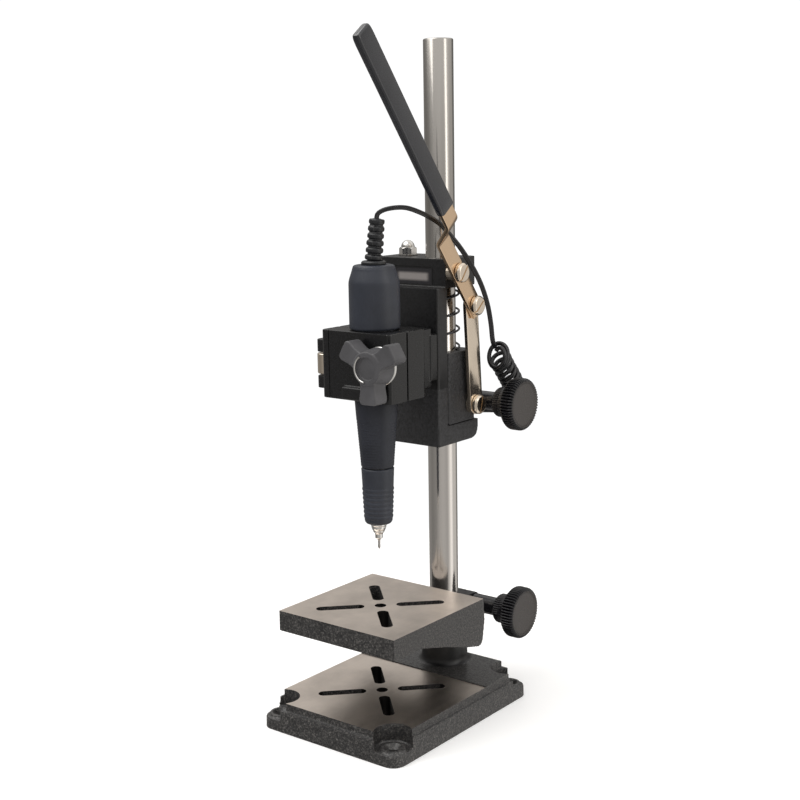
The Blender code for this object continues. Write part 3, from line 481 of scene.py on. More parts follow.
def rod(start, end, radius, end_radius=None, sides=48):
    start, end = Vector(start), Vector(end)
    bm = bmesh.new()
    bmesh.ops.create_cone(bm, cap_ends=True, segments=sides, radius1=radius,
                          radius2=radius if end_radius is None else end_radius, depth=(end - start).length)
    bmesh.ops.transform(bm, matrix=aligned((start + end) / 2, end - start), verts=bm.verts)
    return as_object(bm)


def pole(axis, spot, start, end, radius, end_radius=None, sides=48):
    """A rod along one axis; the spot holds the other two coordinates."""
    at = "XYZ".index(axis)
    ends = [[*spot[:at], place, *spot[at:]] for place in (start, end)]
    return rod(*ends, radius, end_radius, sides)


def rounded(points, radius, steps=4):
    """The same open outline with its inner corners rounded."""
    result = [points[0]]
    for before, corner, after in zip(points, points[1:], points[2:]):
        b, c, a = Vector(before), Vector(corner), Vector(after)
        reach = min(radius, (b - c).length * 0.45, (a - c).length * 0.45)
        p, q = c + (b - c).normalized() * reach, c + (a - c).normalized() * reach
        for i in range(steps + 1):
            t = i / steps
            result.append(tuple(p * (1 - t) ** 2 + c * 2 * t * (1 - t) + q * t * t))
    result.append(points[-1])
    return result


def lathe(profile, origin, direction=(0, 0, 1), steps=96, shape=None):
    """A turned solid. The profile runs down the outside as (radius, height) and closes itself inside
    if it is off the axis. shape(radius, height, angle) may give another radius at each point."""
    bm = bmesh.new()
    rows = []
    for radius, height in profile:
        if radius < 1e-7:
            rows.append([bm.verts.new((0, 0, height))])
            continue
        row = []
        for i in range(steps):
            angle = 2 * pi * i / steps
            r = shape(radius, height, angle) if shape else radius
            row.append(bm.verts.new((r * cos(angle), r * sin(angle), height)))
        rows.append(row)
    pairs = list(zip(rows, rows[1:]))
    if len(rows[0]) > 1 and len(rows[-1]) > 1:
        pairs.append((rows[-1], rows[0]))
    for upper, lower in pairs:
        for i in range(steps):
            j = (i + 1) % steps
            corners = [row[k % len(row)] for row, k in ((upper, i), (upper, j), (lower, j), (lower, i))]
            corners = list(dict.fromkeys(corners))
            if len(corners) > 2:
                bm.faces.new(corners)
    bmesh.ops.transform(bm, matrix=aligned(origin, direction), verts=bm.verts)
    return as_object(bm)


def sweep(points, section, first_side=None, widths=None):
    """A bar along the points: section is a closed loop of (sideways, upward) offsets. The side is
    carried along without twist; widths may scale the section at each point."""
    pts = [Vector(p) for p in points]
    ways = [(q - p).normalized() for p, q in zip(pts, pts[1:])]
    tangents = [ways[0]] + [(a + b).normalized() for a, b in zip(ways, ways[1:])] + [ways[-1]]
    side = Vector(first_side) if first_side is not None else tangents[0].orthogonal()
    bm = bmesh.new()
    rows = []
    for k, (point, way) in enumerate(zip(pts, tangents)):
        side = (side - way * side.dot(way)).normalized()
        up = way.cross(side)
        scale = widths[k] if widths else (1.0, 1.0)
        rows.append([bm.verts.new(point + side * a * scale[0] + up * b * scale[1]) for a, b in section])
    count = len(section)
    for lower, upper in zip(rows, rows[1:]):
        for i in range(count):
            j = (i + 1) % count
            bm.faces.new((lower[i], lower[j], upper[j], upper[i]))
    bm.faces.new(reversed(rows[0]))
    bm.faces.new(rows[-1])
    return as_object(bm)


def circle(radius, sides=16):
    return [(radius * cos(2 * pi * i / sides), radius * sin(2 * pi * i / sides)) for i in range(sides)]


def rounded_box(width, height, radius, steps=4):
    """A closed loop round a rectangle with rounded corners."""
    loop = []
    for quarter, (sx, sy) in enumerate(((1, 1), (-1, 1), (-1, -1), (1, -1))):
        for i in range(steps + 1):
            angle = pi / 2 * (quarter + i / steps)
            loop.append((sx * (width / 2 - radius) + radius * cos(angle),
                         sy * (height / 2 - radius) + radius * sin(angle)))
    return loop


def hoop(loops):
    """A closed band through loops of equally many points, the last one joined to the first."""
    bm = bmesh.new()
    rows = [[bm.verts.new(point) for point in loop] for loop in loops]
    for row, other in zip(rows, rows[1:] + rows[:1]):
        for i in range(len(row)):
            j = (i + 1) % len(row)
            bm.faces.new((row[i], row[j], other[j], other[i]))
    return as_object(bm)


def drawn_out(outline, shift):
    """A flat outline drawn out along a shift, as a bmesh."""
    bm = bmesh.new()
    face = bm.faces.new([bm.verts.new(point) for point in outline])
    made = bmesh.ops.extrude_face_region(bm, geom=[face])["geom"]
    bmesh.ops.translate(bm, vec=shift, verts=[v for v in made if isinstance(v, bmesh.types.BMVert)])
    return bm


def plate_x(outline, low, high, bevel=0.0):
    """A flat outline of (y, z) points, solid between two x positions, its rims bevelled."""
    bm = drawn_out([(low, y, z) for y, z in outline], (high - low, 0, 0))
    if bevel:
        rims = [e for e in bm.edges if abs(e.verts[0].co.x - e.verts[1].co.x) < 1e-7]
        bmesh.ops.bevel(bm, geom=rims, offset=bevel, segments=2, profile=0.5, affect="EDGES")
    return as_object(bm)


def merged(parts):
    """Several closed shapes in one mesh, each still whole."""
    bm = bmesh.new()
    for part in parts:
        part.data.transform(part.matrix_world)
        bm.from_mesh(part.data)
        bpy.data.objects.remove(part, do_unlink=True)
    return linked(bm)


def carve(obj, *cutters, operation="DIFFERENCE"):
    for cutter in cutters:
        modifier = obj.modifiers.new("carve", "BOOLEAN")
        modifier.solver = "MANIFOLD"
        modifier.operation = operation
        modifier.object = cutter
        baked(obj)
        bpy.data.objects.remove(cutter, do_unlink=True)
    return obj


def cast(parts, grain, soft=4):
    """One casting from overlapping shapes: their corners run together and their edges soften."""
    obj = merged(parts)
    remesh = obj.modifiers.new("fuse", "REMESH")
    remesh.mode = "VOXEL"
    remesh.voxel_size = grain
    smooth = obj.modifiers.new("soften", "SMOOTH")
    smooth.factor = 0.5
    smooth.iterations = soft
    return baked(obj)


def piece(obj, name, body, look, replaces=(), angle=35.0, others=()):
    """Names a finished shape, gives it its material and hangs it on its body. others holds
    (material, test) pairs: a face takes the last material whose test(centre, normal) holds."""
    obj.name = name
    obj.data.name = name
    obj.data.materials.clear()
    obj.data.materials.append(MATERIALS[look])
    obj.data.shade_smooth()
    obj.data.set_sharp_from_angle(angle=radians(angle))
    for polygon in obj.data.polygons:
        polygon.material_index = 0
    for index, (other, test) in enumerate(others, 1):
        obj.data.materials.append(MATERIALS[other])
        for polygon in obj.data.polygons:
            if test(polygon.center, polygon.normal):
                polygon.material_index = index
    if body:
        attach(obj, body)
    if replaces:
        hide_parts(*([replaces] if isinstance(replaces, str) else replaces))
    return obj


def repaint(node, look):
    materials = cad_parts[node].data.materials
    materials.clear()
    materials.append(MATERIALS[look])


# ---- cords ----
LEAD_ROUTE = [tuple(CORD_LEAVES - RELIEF_LEAN * 0.003), tuple(CORD_LEAVES + RELIEF_LEAN * 0.002),
              (0.0046, -0.0636, 0.3166), (0.0088, -0.0600, 0.3180), (0.0138, -0.0530, 0.3180),
              (0.0180, -0.0430, 0.3145), (0.0200, -0.0330, 0.3100), (0.0195, -0.0235, 0.3055),
              (0.0190, -0.0155, 0.2998), (0.0205, -0.0080, 0.2925), (0.0240, -0.0030, 0.2835),
              (0.0256, 0.0072, 0.2690), (0.0256, 0.0148, 0.2550), (0.0252, 0.0192, 0.2420),
              (0.0240, 0.0230, 0.2305), (0.0230, 0.0270, 0.2255)]
CURLY_ROUTE = [(0.0226, 0.0290, 0.2232), (0.0232, 0.0330, 0.2170), (0.0243, 0.0375, 0.2098),
               (0.0246, 0.0430, 0.2030), (0.0244, 0.0475, 0.1960), (0.0232, 0.0500, 0.1885)]
TAIL_ROUTE = [(0.0226, 0.0508, 0.1862), (0.0190, 0.0515, 0.1815), (0.0110, 0.0480, 0.1800),
              (0.0000, 0.0430, 0.1795), (-0.0110, 0.0390, 0.1765), (-0.0190, 0.0350, 0.1690),
              (-0.0235, 0.0325, 0.1560), (-0.0250, 0.0312, 0.1380), (-0.0252, 0.0310, 0.1100),
              (-0.0252, 0.0312, 0.0800), (-0.0252, 0.0318, 0.0500), (-0.0256, 0.0328, 0.0280),
              (-0.0270, 0.0345, 0.0130), (-0.0305, 0.0377, 0.0055), (-0.0365, 0.0418, 0.0022),
              (-0.0430, 0.0445, 0.0019), (-0.0498, 0.0452, 0.0019)]
COIL_CENTRE = (-0.062, 0.064)
COIL_OUT, COIL_IN = 0.0188, 0.0156
COIL_LOW, COIL_HIGH = 0.0021, 0.0053
PLUG_TIP = Vector((-0.0808, 0.0785, 0.0052))
PLUG_WAY = Vector((0.0, 1.0, 0.0))


def smooth_route(points, step):
    """Points a step apart along a smooth curve (centripetal Catmull-Rom) through the given ones."""
    pts = [Vector(p) for p in points]
    pts = [2 * pts[0] - pts[1], *pts, 2 * pts[-1] - pts[-2]]
    fine = []
    for a, b, c, d in zip(pts, pts[1:], pts[2:], pts[3:]):
        t1 = (b - a).length ** 0.5
        t2 = t1 + (c - b).length ** 0.5
        t3 = t2 + (d - c).length ** 0.5
        for i in range(24):
            t = t1 + (t2 - t1) * i / 24
            ab = a.lerp(b, t / t1)
            bc = b.lerp(c, (t - t1) / (t2 - t1))
            cd = c.lerp(d, (t - t2) / (t3 - t2))
            abc = ab.lerp(bc, t / t2)
            bcd = bc.lerp(cd, (t - t1) / (t3 - t1))
            fine.append(abc.lerp(bcd, (t - t1) / (t2 - t1)))
    fine.append(pts[-2])
    total = route_length(fine)
    count = max(2, round(total / step))
    route, run, goal = [fine[0]], 0.0, total / count
    for p, q in zip(fine, fine[1:]):
        long = (q - p).length
        while run + long >= goal - 1e-9 and len(route) < count:
            route.append(p.lerp(q, (goal - run) / long))
            goal += total / count
        run += long
    route.append(fine[-1])
    return route


def route_length(points):
    return sum((Vector(q) - Vector(p)).length for p, q in zip(points, points[1:]))


def ease(t):
    t = min(1.0, max(0.0, t))
    return t * t * (3 - 2 * t)


def twin_section():
    """Outline of two round cores side by side under one jacket."""
    core, apart, steps = 0.00086, 0.00072, 9
    waist = radians(52)
    loop = []
    for side in (1, -1):
        for i in range(steps + 1):
            angle = -pi + waist + (2 * pi - 2 * waist) * i / steps
            angle = angle if side == 1 else angle + pi
            loop.append((side * apart + core * cos(angle), core * sin(angle)))
    return loop


def curly_path():
    """A helix round the sagging route; it eases in and out of the turns at both ends."""
    spine = smooth_route(CURLY_ROUTE, 0.0006)
    turns, per_turn, lead, lean = 10, 30, 0.35, 0.22
    total = turns * per_turn
    side = None
    path = []
    for i in range(total + 1):
        place = i / total * (len(spine) - 1)
        k = min(int(place), len(spine) - 2)
        point = spine[k].lerp(spine[k + 1], place - k)
        way = (spine[min(k + 3, len(spine) - 1)] - spine[max(k - 3, 0)]).normalized()
        side = way.orthogonal() if side is None else side
        side = (side - way * side.dot(way)).normalized()
        turn = i / per_turn
        radius = (0.0061 + 0.0010 * ease(1.0 - turn / 2.5)) * ease(min(turn, turns - turn) / lead)
        angle = 2 * pi * turn + 2.4
        around = side * cos(angle) + way.cross(side) * sin(angle)
        tilt = lean + 1.0 * ease(1.0 - turn / 2.4)
        path.append(point + (around - way * tilt * around.y) * radius)
    return path


def coil_path():
    """Two layers of two turns, wound clockwise from the side nearest the stand; each change of
    ring or layer comes a little earlier in its turn than the one before, so no turn cuts another."""
    shift = 40
    moves = [(-410, COIL_IN, COIL_LOW), (-730, COIL_IN, COIL_HIGH), (-1050, COIL_OUT, COIL_HIGH)]
    start, end = -90, -1260
    path = []
    steps = (start - end) // 12
    for i in range(steps + 1):
        angle = start + (end - start) * i / steps
        radius, z = COIL_OUT, COIL_LOW
        for begins, new_radius, new_z in moves:
            t = ease((begins - angle) / shift)
            radius += (new_radius - radius) * t
            z += (new_z - z) * t
        a = radians(angle)
        path.append(Vector((COIL_CENTRE[0] + radius * cos(a), COIL_CENTRE[1] + radius * sin(a), z)))
    return path


def cords():
    lead = smooth_route(LEAD_ROUTE, 0.0016)
    obj = sweep(lead, twin_section(), (0.35, 0.9, 0.1))
    piece(obj, "cord_lead_visual", None, "cord", "cord_lead", 60)
    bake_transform(obj)

    curl = curly_path()
    obj = sweep(curl, circle(0.00145, 12))
    piece(obj, "curly_cord_visual", "head", "cord", "curly_cord", 60)

    tail = smooth_route([tuple(curl[-1])] + TAIL_ROUTE, 0.004)
    route = tail + coil_path()
    leave = route[-1]
    gap = PLUG_TIP + PLUG_WAY * 0.004 - leave
    route += [leave + gap * (i / 6) for i in range(1, 7)]
    obj = sweep(route, circle(CORD_D / 2, 14))
    piece(obj, "cord_tail_visual", None, "cord", ("cord_tail", "cord_coil"), 60)
    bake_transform(obj)
    return obj, route


def plug():
    """Round connector: ribbed sleeve, grip with flutes, and a metal ring at its mouth."""
    flutes_low, flutes_high, mouth = 0.0165, 0.0275, 0.0292

    def ribs(radius, height, angle):
        if flutes_low < height < flutes_high:
            return radius - 0.00022 * (0.5 + 0.5 * cos(24 * angle))
        return radius
    outline = [(0, 0.0385), (0.0034, 0.0385), (0.0034, 0.0395), (0.0044, 0.0395), (0.0044, 0.029),
               (0.0051, 0.0284), (0.0051, 0.0280), (0.0051, 0.0160), (0.0051, 0.0155), (0.0040, 0.0120),
               (0.0030, 0.0110), (0.0024, 0.0005), (0.0018, 0.0), (0, 0.0)]
    body = lathe(rounded(outline, 0.0004, 3), PLUG_TIP, PLUG_WAY, 96, ribs)
    return piece(body, "cord_plug_visual", "root", "plug", "cord_plug", 40,
                 [("bright", lambda c, n: (c - PLUG_TIP).dot(PLUG_WAY) > mouth)])


def coil_tie():
    """Soft strap round the coil's turns."""
    angle = radians(60)
    out = Vector((cos(angle), sin(angle), 0))
    along = Vector((-sin(angle), cos(angle), 0))
    middle = Vector((*COIL_CENTRE, 0)) + out * (COIL_OUT + COIL_IN) / 2
    centre_z = (COIL_LOW + COIL_HIGH) / 2
    loop = rounded_box(0.0069, 0.0067, 0.0017, 5)
    inner = rounded_box(0.0063, 0.0061, 0.0014, 5)
    rows = [[middle + out * a + Vector((0, 0, centre_z + b)) + along * reach for a, b in outline]
            for outline, reach in ((loop, -0.0017), (loop, 0.0017), (inner, 0.0017), (inner, -0.0017))]
    return piece(hoop(rows), "coil_tie", "root", "relief", ())


camera()
studio()
floor()
TAIL, TAIL_PATH = cords()
PLUG = plug()
TIE = coil_tie()


# ---- base, column and table ----
def cross_slots(low, high):
    """The centre hole and the four diagonal slots, as one cutter."""
    cutters = [pole("Z", (0, SPINDLE_Y), low, high, 0.0036)]
    half = 0.0035
    for quarter in range(4):
        slot = block((0.010, -half, low), (0.040, half, high), half * 0.98, "Z", 8)
        cutters.append(turned(slot, AXIS, pi / 4 + quarter * pi / 2))
    return merged(cutters)


def in_cross(spot):
    """Whether a spot is on the wall of the centre hole or of one of the slots."""
    x, y = spot.x, spot.y - SPINDLE_Y
    along, across = abs(x + y) / sqrt(2), abs(x - y) / sqrt(2)
    along, across = max(along, across), min(along, across)
    return hypot(x, y) < 0.0038 or (0.0095 < along < 0.0405 and across < 0.0034)


def flat_at(z, rear=0.1):
    """A test for faces that look straight up at one height, in front of a line."""
    return lambda centre, normal: normal.z > 0.99 and abs(centre.z - z) < 0.0001 and centre.y < rear


def slot_wall(low, high):
    """A test for the upright walls of the cross slots between two heights."""
    return lambda centre, normal: in_cross(centre) and low < centre.z < high and abs(normal.z) < 0.5


def base():
    low, high = BASE_LOW, BASE_HIGH
    edge = BASE_EDGE_Z
    inset = PLATEAU_INSET
    slab = block((low.x, low.y, -0.002), (high.x, high.y, edge + 0.0003), 0.0085, "Z", 8)
    for v in slab.data.vertices:
        draft = 1 - 0.010 * max(0.0, v.co.z) / edge
        v.co.x *= draft
    top = block((low.x + inset, low.y + inset, 0.004), (high.x - inset, high.y - inset, PLATEAU_Z + 0.0006),
                0.004, "Z", 6)
    carve(slab, top, operation="UNION")
    x = high.x - LUG_INSET
    lugs = [(side, y) for y in (low.y + LUG_INSET, high.y - LUG_INSET) for side in (-x, x)]
    carve(slab, *[pole("Z", (px, py), LUG_Z, 0.03, LUG_NOTCH_R) for px, py in lugs])
    rings = [pole("Z", (px, py), 0.003, LUG_Z + 0.0016, 0.0082, 0.0074) for px, py in lugs]
    foot = PLATEAU_Z
    boss = lathe([(0, BOSS_TOP), (0.0138, BOSS_TOP), (0.0143, BOSS_TOP - 0.0006),
                  (0.0152, foot + 0.0035), (0.0160, foot + 0.0014), (0.0180, foot + 0.0003),
                  (0.0180, foot - 0.004), (0, foot - 0.004)], (0, 0, 0))
    body = cast([slab, boss, *rings], 0.00065, 3)
    carve(body, block((-0.1, -0.2, PLATEAU_Z), (0.1, MACHINED_REAR, 0.03)))
    carve(body, block((-0.1, -0.2, -0.01), (0.1, 0.1, 0.0)))
    carve(body, cross_slots(-0.01, 0.03))
    holes = [pole("Z", (px, py), -0.005, 0.03, 0.0029, sides=32) for px, py in lugs]
    carve(body, merged(holes))
    carve(body, merged([pole("Z", (px, py), LUG_Z - 0.0012, LUG_Z + 0.0022, 0.0029, 0.0063, 32)
                        for px, py in lugs]))
    carve(body, pole("Z", (0, 0), 0.008, 0.06, COLUMN_R + 0.0002, sides=64))
    carve(body, pole("Y", (0, 0.032), 0.006, 0.03, 0.0028, sides=32))

    def is_boss(centre, normal):
        return hypot(centre.x, centre.y) < 0.0176 and centre.z > PLATEAU_Z + 0.0002
    piece(body, "base_visual", "root", "cast", "base_casting", 32,
          [("ground", flat_at(PLATEAU_Z, MACHINED_REAR)), ("slot", slot_wall(-1, PLATEAU_Z - 0.0002)),
           ("boss", is_boss)])


def column():
    top, foot, edge = COLUMN_TOP, 0.0083, 0.0008
    bar = lathe([(0, top), (COLUMN_R - edge, top), (COLUMN_R - edge * 0.4, top - edge * 0.3),
                 (COLUMN_R, top - edge), (COLUMN_R, foot), (0, foot)], (0, 0, 0), steps=128)
    piece(bar, "column_visual", "root", "column", "column")


def ears(z):
    """The split lugs behind the column, which the clamp screw draws together."""
    half, radius = 0.0078, 0.0068
    web = block((-half, 0.008, z - radius), (half, HUB_SCREW_Y, z + radius))
    return [web, pole("X", (HUB_SCREW_Y, z), -half, half, radius)]


def clamp_openings(z, low, high):
    """The column's bore, the split beside it and the clamp screw's hole, as cutters."""
    bore = pole("Z", (0, 0), low - 0.01, high + 0.01, COLUMN_R + 0.0002, sides=64)
    split = block((-0.0008, 0.004, low - 0.01), (0.0008, 0.05, high + 0.01))
    hole = pole("X", (HUB_SCREW_Y, z), -0.02, 0.02, 0.0028, sides=32)
    return [bore, split, hole]


def table():
    low = TABLE_TOP - 0.013
    side = [(TABLE_FRONT, low), (-0.084, low - 0.0003), (-0.060, 0.0540), (-0.036, 0.0465), (-0.0245, 0.0437),
            (-0.0215, 0.0448), (-0.0202, 0.0475), (-0.0180, 0.060), (TABLE_REAR, TABLE_TOP + 0.0015),
            (TABLE_FRONT, TABLE_TOP + 0.0015)]
    slab = plate_x(side, -TABLE_X, TABLE_X)
    hub = pole("Z", (0, 0), 0.0456, 0.0632, 0.0153, sides=64)
    web = block((-0.013, -0.024, 0.0466), (0.013, -0.006, 0.0625))
    body = cast([slab, hub, web, *ears(TABLE_SCREW_Z)], 0.0006, 1)
    carve(body, block((-0.1, -0.2, TABLE_TOP), (0.1, 0.1, 0.09)))
    carve(body, cross_slots(0.03, 0.09))
    carve(body, *clamp_openings(TABLE_SCREW_Z, 0.04, 0.08))

    def is_hub(centre, normal):
        return centre.y > -0.0165 and centre.z < 0.0634
    piece(body, "table_visual", "table", "cast", "work_table", 32,
          [("ground", flat_at(TABLE_TOP)), ("slot", slot_wall(0.061, TABLE_TOP - 0.0002)), ("boss", is_hub)])


def knob(name, node, body, z):
    """Long neck, knurled collar, beaded rim and a dished, turned face."""
    rim = 0.0168
    outline = [(0, 0.0472), (0.0125, 0.0476), (0.0146, 0.0482), (0.0156, 0.0482), (rim, 0.0468),
               (rim, 0.0440), (rim, 0.0404), (0.0150, 0.0388), (0.0115, 0.0370), (0.0104, 0.0335),
               (0.0097, 0.0330),
               (0.0097, 0.0294), (0.0088, 0.0284), (0.0070, 0.0275), (0.0060, 0.0262), (0.0060, 0.0088),
               (0.0056, 0.0083), (0, 0.0083)]
    smooth = rounded(outline, 0.0006, 3)
    smooth = [smooth[0], (0.006, 0.0473)] + smooth[1:]

    def beads(radius, height, angle):
        if radius > rim - 0.0022 and height > 0.0392:
            swell = abs(cos(27 * angle))
            return radius - 0.0013 * (1 - swell) - 0.0008 * (1 - swell) ** 4
        if radius > 0.0088 and 0.0286 < height < 0.0345:
            return radius - 0.00045 * (1 - abs(cos(20 * angle)))
        return radius

    solid = lathe(smooth, (0, HUB_SCREW_Y, z), (1, 0, 0), 540, beads)

    def is_face(centre, normal):
        return centre.x > 0.0465 and hypot(centre.y - HUB_SCREW_Y, centre.z - z) < 0.0147
    piece(solid, name, body, "knob", node, 50, [("face", is_face)])


# ---- collar and sliding frame ----
def frame_screw_holes(front, rear):
    return merged([pole("Y", (x, FRAME_SCREW_Z), front, rear, 0.0024, sides=24)
                   for x in FRAME_SCREW_X])


def collar():
    low = FRAME_STEP + 0.0004
    bushing = block((-0.0145, -0.0134, low), (0.0152, 0.0155, COLLAR_TOP), 0.002, "Z", 4)
    arm = block((ROD_X - 0.0065, ROD_Y - 0.006, 0.205), (-0.012, ROD_Y + 0.006, 0.217), 0.003, "Z", 4)
    body = cast([bushing, arm, *ears(COLLAR_SCREW_Z)], 0.0005, 3)
    y, z = LINK_ANCHOR
    carve(body, *clamp_openings(COLLAR_SCREW_Z, low, COLLAR_TOP),
          pole("Z", (ROD_X, ROD_Y), 0.19, 0.23, ROD_R + 0.0003),
          pole("X", (y, z), 0.0085, 0.03, 0.0025, sides=32))
    piece(body, "collar_visual", "head", "crinkle", "head_collar", 32)


def spring():
    """Wire wound between the collar and the frame's lintel."""
    mean, thick, turns, per_turn = 0.01145, 0.00072, 3.45, 36
    low = COLLAR_TOP + 0.0003 + thick
    high = FRAME_LINTEL - 0.0003 - thick
    count = round(turns * per_turn)
    points = []
    for i in range(count + 1):
        angle = 2 * pi * turns * i / count
        points.append((mean * cos(angle), mean * sin(angle), low + (high - low) * i / count))
    obj = sweep(points, circle(thick, 10))
    piece(obj, "spring_visual", None, "dark_steel", "return_spring", 60)
    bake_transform(obj)


def head_frame():
    plate = block((FRAME_LEFT, FRAME_FRONT, FRAME_LOW),
                  (FRAME_RIGHT, FRAME_PLATE_REAR, FRAME_LINTEL + 0.0005), 0.0012, "Z", 3)
    foot = block((FRAME_LEFT, FRAME_FRONT + 0.0004, FRAME_LOW), (FRAME_RIGHT, FRAME_REAR, FRAME_STEP),
                 0.0065, "X", 6, lambda m: m.y > 0 and m.z < FRAME_LOW + 0.001)
    lintel = block((FRAME_LEFT, LINTEL_FRONT, FRAME_LINTEL), (FRAME_RIGHT, FRAME_REAR, FRAME_TOP), 0.004,
                   "Z", 6, lambda m: m.y > 0)
    body = cast([plate, foot, lintel], 0.0005, 3)
    y, z = LEVER_PIVOT
    carve(body, pole("Z", (0, 0), 0.15, 0.3, COLUMN_R + 0.0002, sides=64),
          pole("Z", (ROD_X, ROD_Y), 0.15, 0.3, ROD_R + 0.0003),
          pole("X", (y, z), 0.0065, 0.03, 0.0028, sides=32),
          block((-0.0244, LINTEL_FRONT - 0.01, 0.2681), (0.0058, LINTEL_FRONT + 0.0008, 0.2799),
                0.0015, "Y", 4),
          frame_screw_holes(-0.03, -0.010))

    def is_rough(centre, normal):
        return centre.z < 0.205
    piece(body, "frame_visual", "slide", "frame", "head_frame", 32,
          [("crinkle", is_rough)])

    outer = rounded_box(0.0298, 0.0114, 0.0014, 5)
    inner = rounded_box(0.0278, 0.0096, 0.0008, 5)
    front, rear = LINTEL_FRONT - 0.0001, LINTEL_FRONT + 0.0009
    rows = [[(LABEL_X + a, y, LABEL_Z + b) for a, b in outline]
            for outline, y in ((outer, rear), (outer, front), (inner, front + 0.0001), (inner, rear))]
    piece(hoop(rows), "label_border", "slide", "frame", ())


def guide_rod():
    spot = (ROD_X, ROD_Y, 0)
    top, foot = FRAME_TOP + 0.004, FRAME_LOW + 0.0005
    bar = lathe([(0, top), (ROD_R, top), (ROD_R, foot), (0, foot)], spot, steps=48)
    piece(bar, "guide_rod_visual", "slide", "chrome", "guide_rod")
    low = FRAME_TOP + 0.0001
    nut = pole("Z", (ROD_X, ROD_Y), low + 0.0009, low + 0.0052, 0.010 / 2 / cos(pi / 6), sides=6)
    cone = lathe([(0, low + 0.0062), (0.0050, low + 0.0052), (0.0062, low + 0.0040), (0.0062, low - 0.002),
                  (0, low - 0.002)], spot, steps=64)
    carve(nut, cone, operation="INTERSECT")
    dome = [(0.0044 * sin(pi / 2 * i / 8), low + 0.0052 + 0.0046 * cos(pi / 2 * i / 8)) for i in range(9)]
    cap = lathe([*dome, (0.0044, low + 0.0045), (0, low + 0.0045)], spot, steps=48)
    ring = [(0.0061, low + 0.0009), (0.0061, low), (0.0032, low), (0.0032, low + 0.0009)]
    washer = lathe(rounded(ring, 0.0002), spot, steps=64)
    piece(merged([nut, cap, washer]), "acorn_nut", "slide", "chrome", "guide_rod_nut", 30)


def slotted_screw(name, body, node, spot, tip, under_head, shank, turn):
    y, z = spot
    head = under_head + 0.0035
    outline = [(0, head), (0.0050, head), (0.0062, head - 0.0012), (0.0062, under_head),
               (shank, under_head), (shank, tip), (0, tip)]
    screw = lathe(rounded(outline, 0.0005, 4), (0, y, z), (1, 0, 0), 64)
    slot = block((head - 0.0014, -0.01, -0.0006), (head + 0.01, 0.01, 0.0006))
    carve(screw, turned(slot, (0, y, z), radians(turn), "X"))
    piece(screw, name, body, "screw", node, 30)


# ---- handpiece clamp ----
def bracket():
    rear = FRAME_FRONT - 0.0003
    flange = block((-0.032, rear - 0.0072, 0.2115), (FRAME_RIGHT, rear, 0.2398), 0.001, "Z", 3)
    waist = block((-0.018, -0.055, 0.2075), (0.0145, rear - 0.004, 0.2438), 0.002, "Z", 3)
    jaw = block((CLAMP_LEFT, SPINDLE_Y + 0.0004, CLAMP_LOW), (CLAMP_X, -0.0478, CLAMP_TOP), 0.004, "Z", 6,
                lambda m: m.y > -0.05)
    hx, hy = HINGE
    knuckles = [block((hx - 0.004, hy - 0.006, low), (CLAMP_LEFT + 0.002, -0.0615, low + 0.0078),
                      0.0035, "Z", 5, lambda m: m.x < hx) for low in (0.2095, 0.2317)]
    body = cast([flange, waist, jaw, *knuckles], 0.00045, 6)
    carve(body, pole("Z", (0, SPINDLE_Y), 0.19, 0.26, CLAMP_BORE_R, sides=96),
          pole("Y", (STAR_X, STAR_Z), -0.08, -0.0505, 0.0034, sides=32),
          pole("Z", (hx, hy), 0.2, 0.25, 0.0019, sides=32),
          pole("Z", (hx, hy), 0.2173, 0.2317, 0.0062, sides=48),
          block((-0.04, -0.08, 0.2), (0.04, SPINDLE_Y + 0.0004, 0.2094)),
          frame_screw_holes(-0.028, -0.01))
    piece(body, "bracket_visual", "slide", "clamp", "clamp_bracket", 32)


def jaw():
    hx, hy = HINGE
    front = block((CLAMP_LEFT, -0.0838, CLAMP_LOW), (CLAMP_X, SPINDLE_Y - 0.0006, CLAMP_TOP), 0.003, "Z", 6,
                  lambda m: m.y < -0.08)
    pad = block((-0.0105, -0.0868, CLAMP_LOW + 0.001), (0.0085, -0.08, CLAMP_LOW + 0.0085), 0.001, "X", 3)
    arm = block((hx + 0.003, hy - 0.0050, 0.2180), (CLAMP_LEFT + 0.001, hy + 0.0045, 0.2310))
    body = cast([front, pad, arm], 0.00045, 6)
    carve(body, block((hx - 0.005, -0.0798, 0.2092), (CLAMP_LEFT + 0.0055, -0.0612, 0.2176)),
          block((hx - 0.005, -0.0798, 0.2314), (CLAMP_LEFT + 0.0055, -0.0612, 0.2398)),
          block((-0.0224, -0.09, 0.2), (-0.0219, -0.0832, 0.25)),
          pole("Z", (0, SPINDLE_Y), 0.19, 0.26, CLAMP_BORE_R, sides=96),
          pole("Y", (STAR_X, STAR_Z), -0.1, -0.05, 0.0031, sides=32),
          pole("Z", (hx, hy), 0.2, 0.25, 0.0056, sides=48))
    piece(body, "jaw_visual", "jaw", "clamp", "clamp_jaw", 32)
    ring = [(0.0052, 0.2306), (0.0057, 0.2301), (0.0057, 0.2185), (0.0052, 0.2180), (0.0019, 0.2180),
            (0.0019, 0.2306)]
    bush = lathe(rounded(ring, 0.0003, 3), (hx, hy, 0), steps=64)
    piece(bush, "hinge_bush", "jaw", "screw", ())


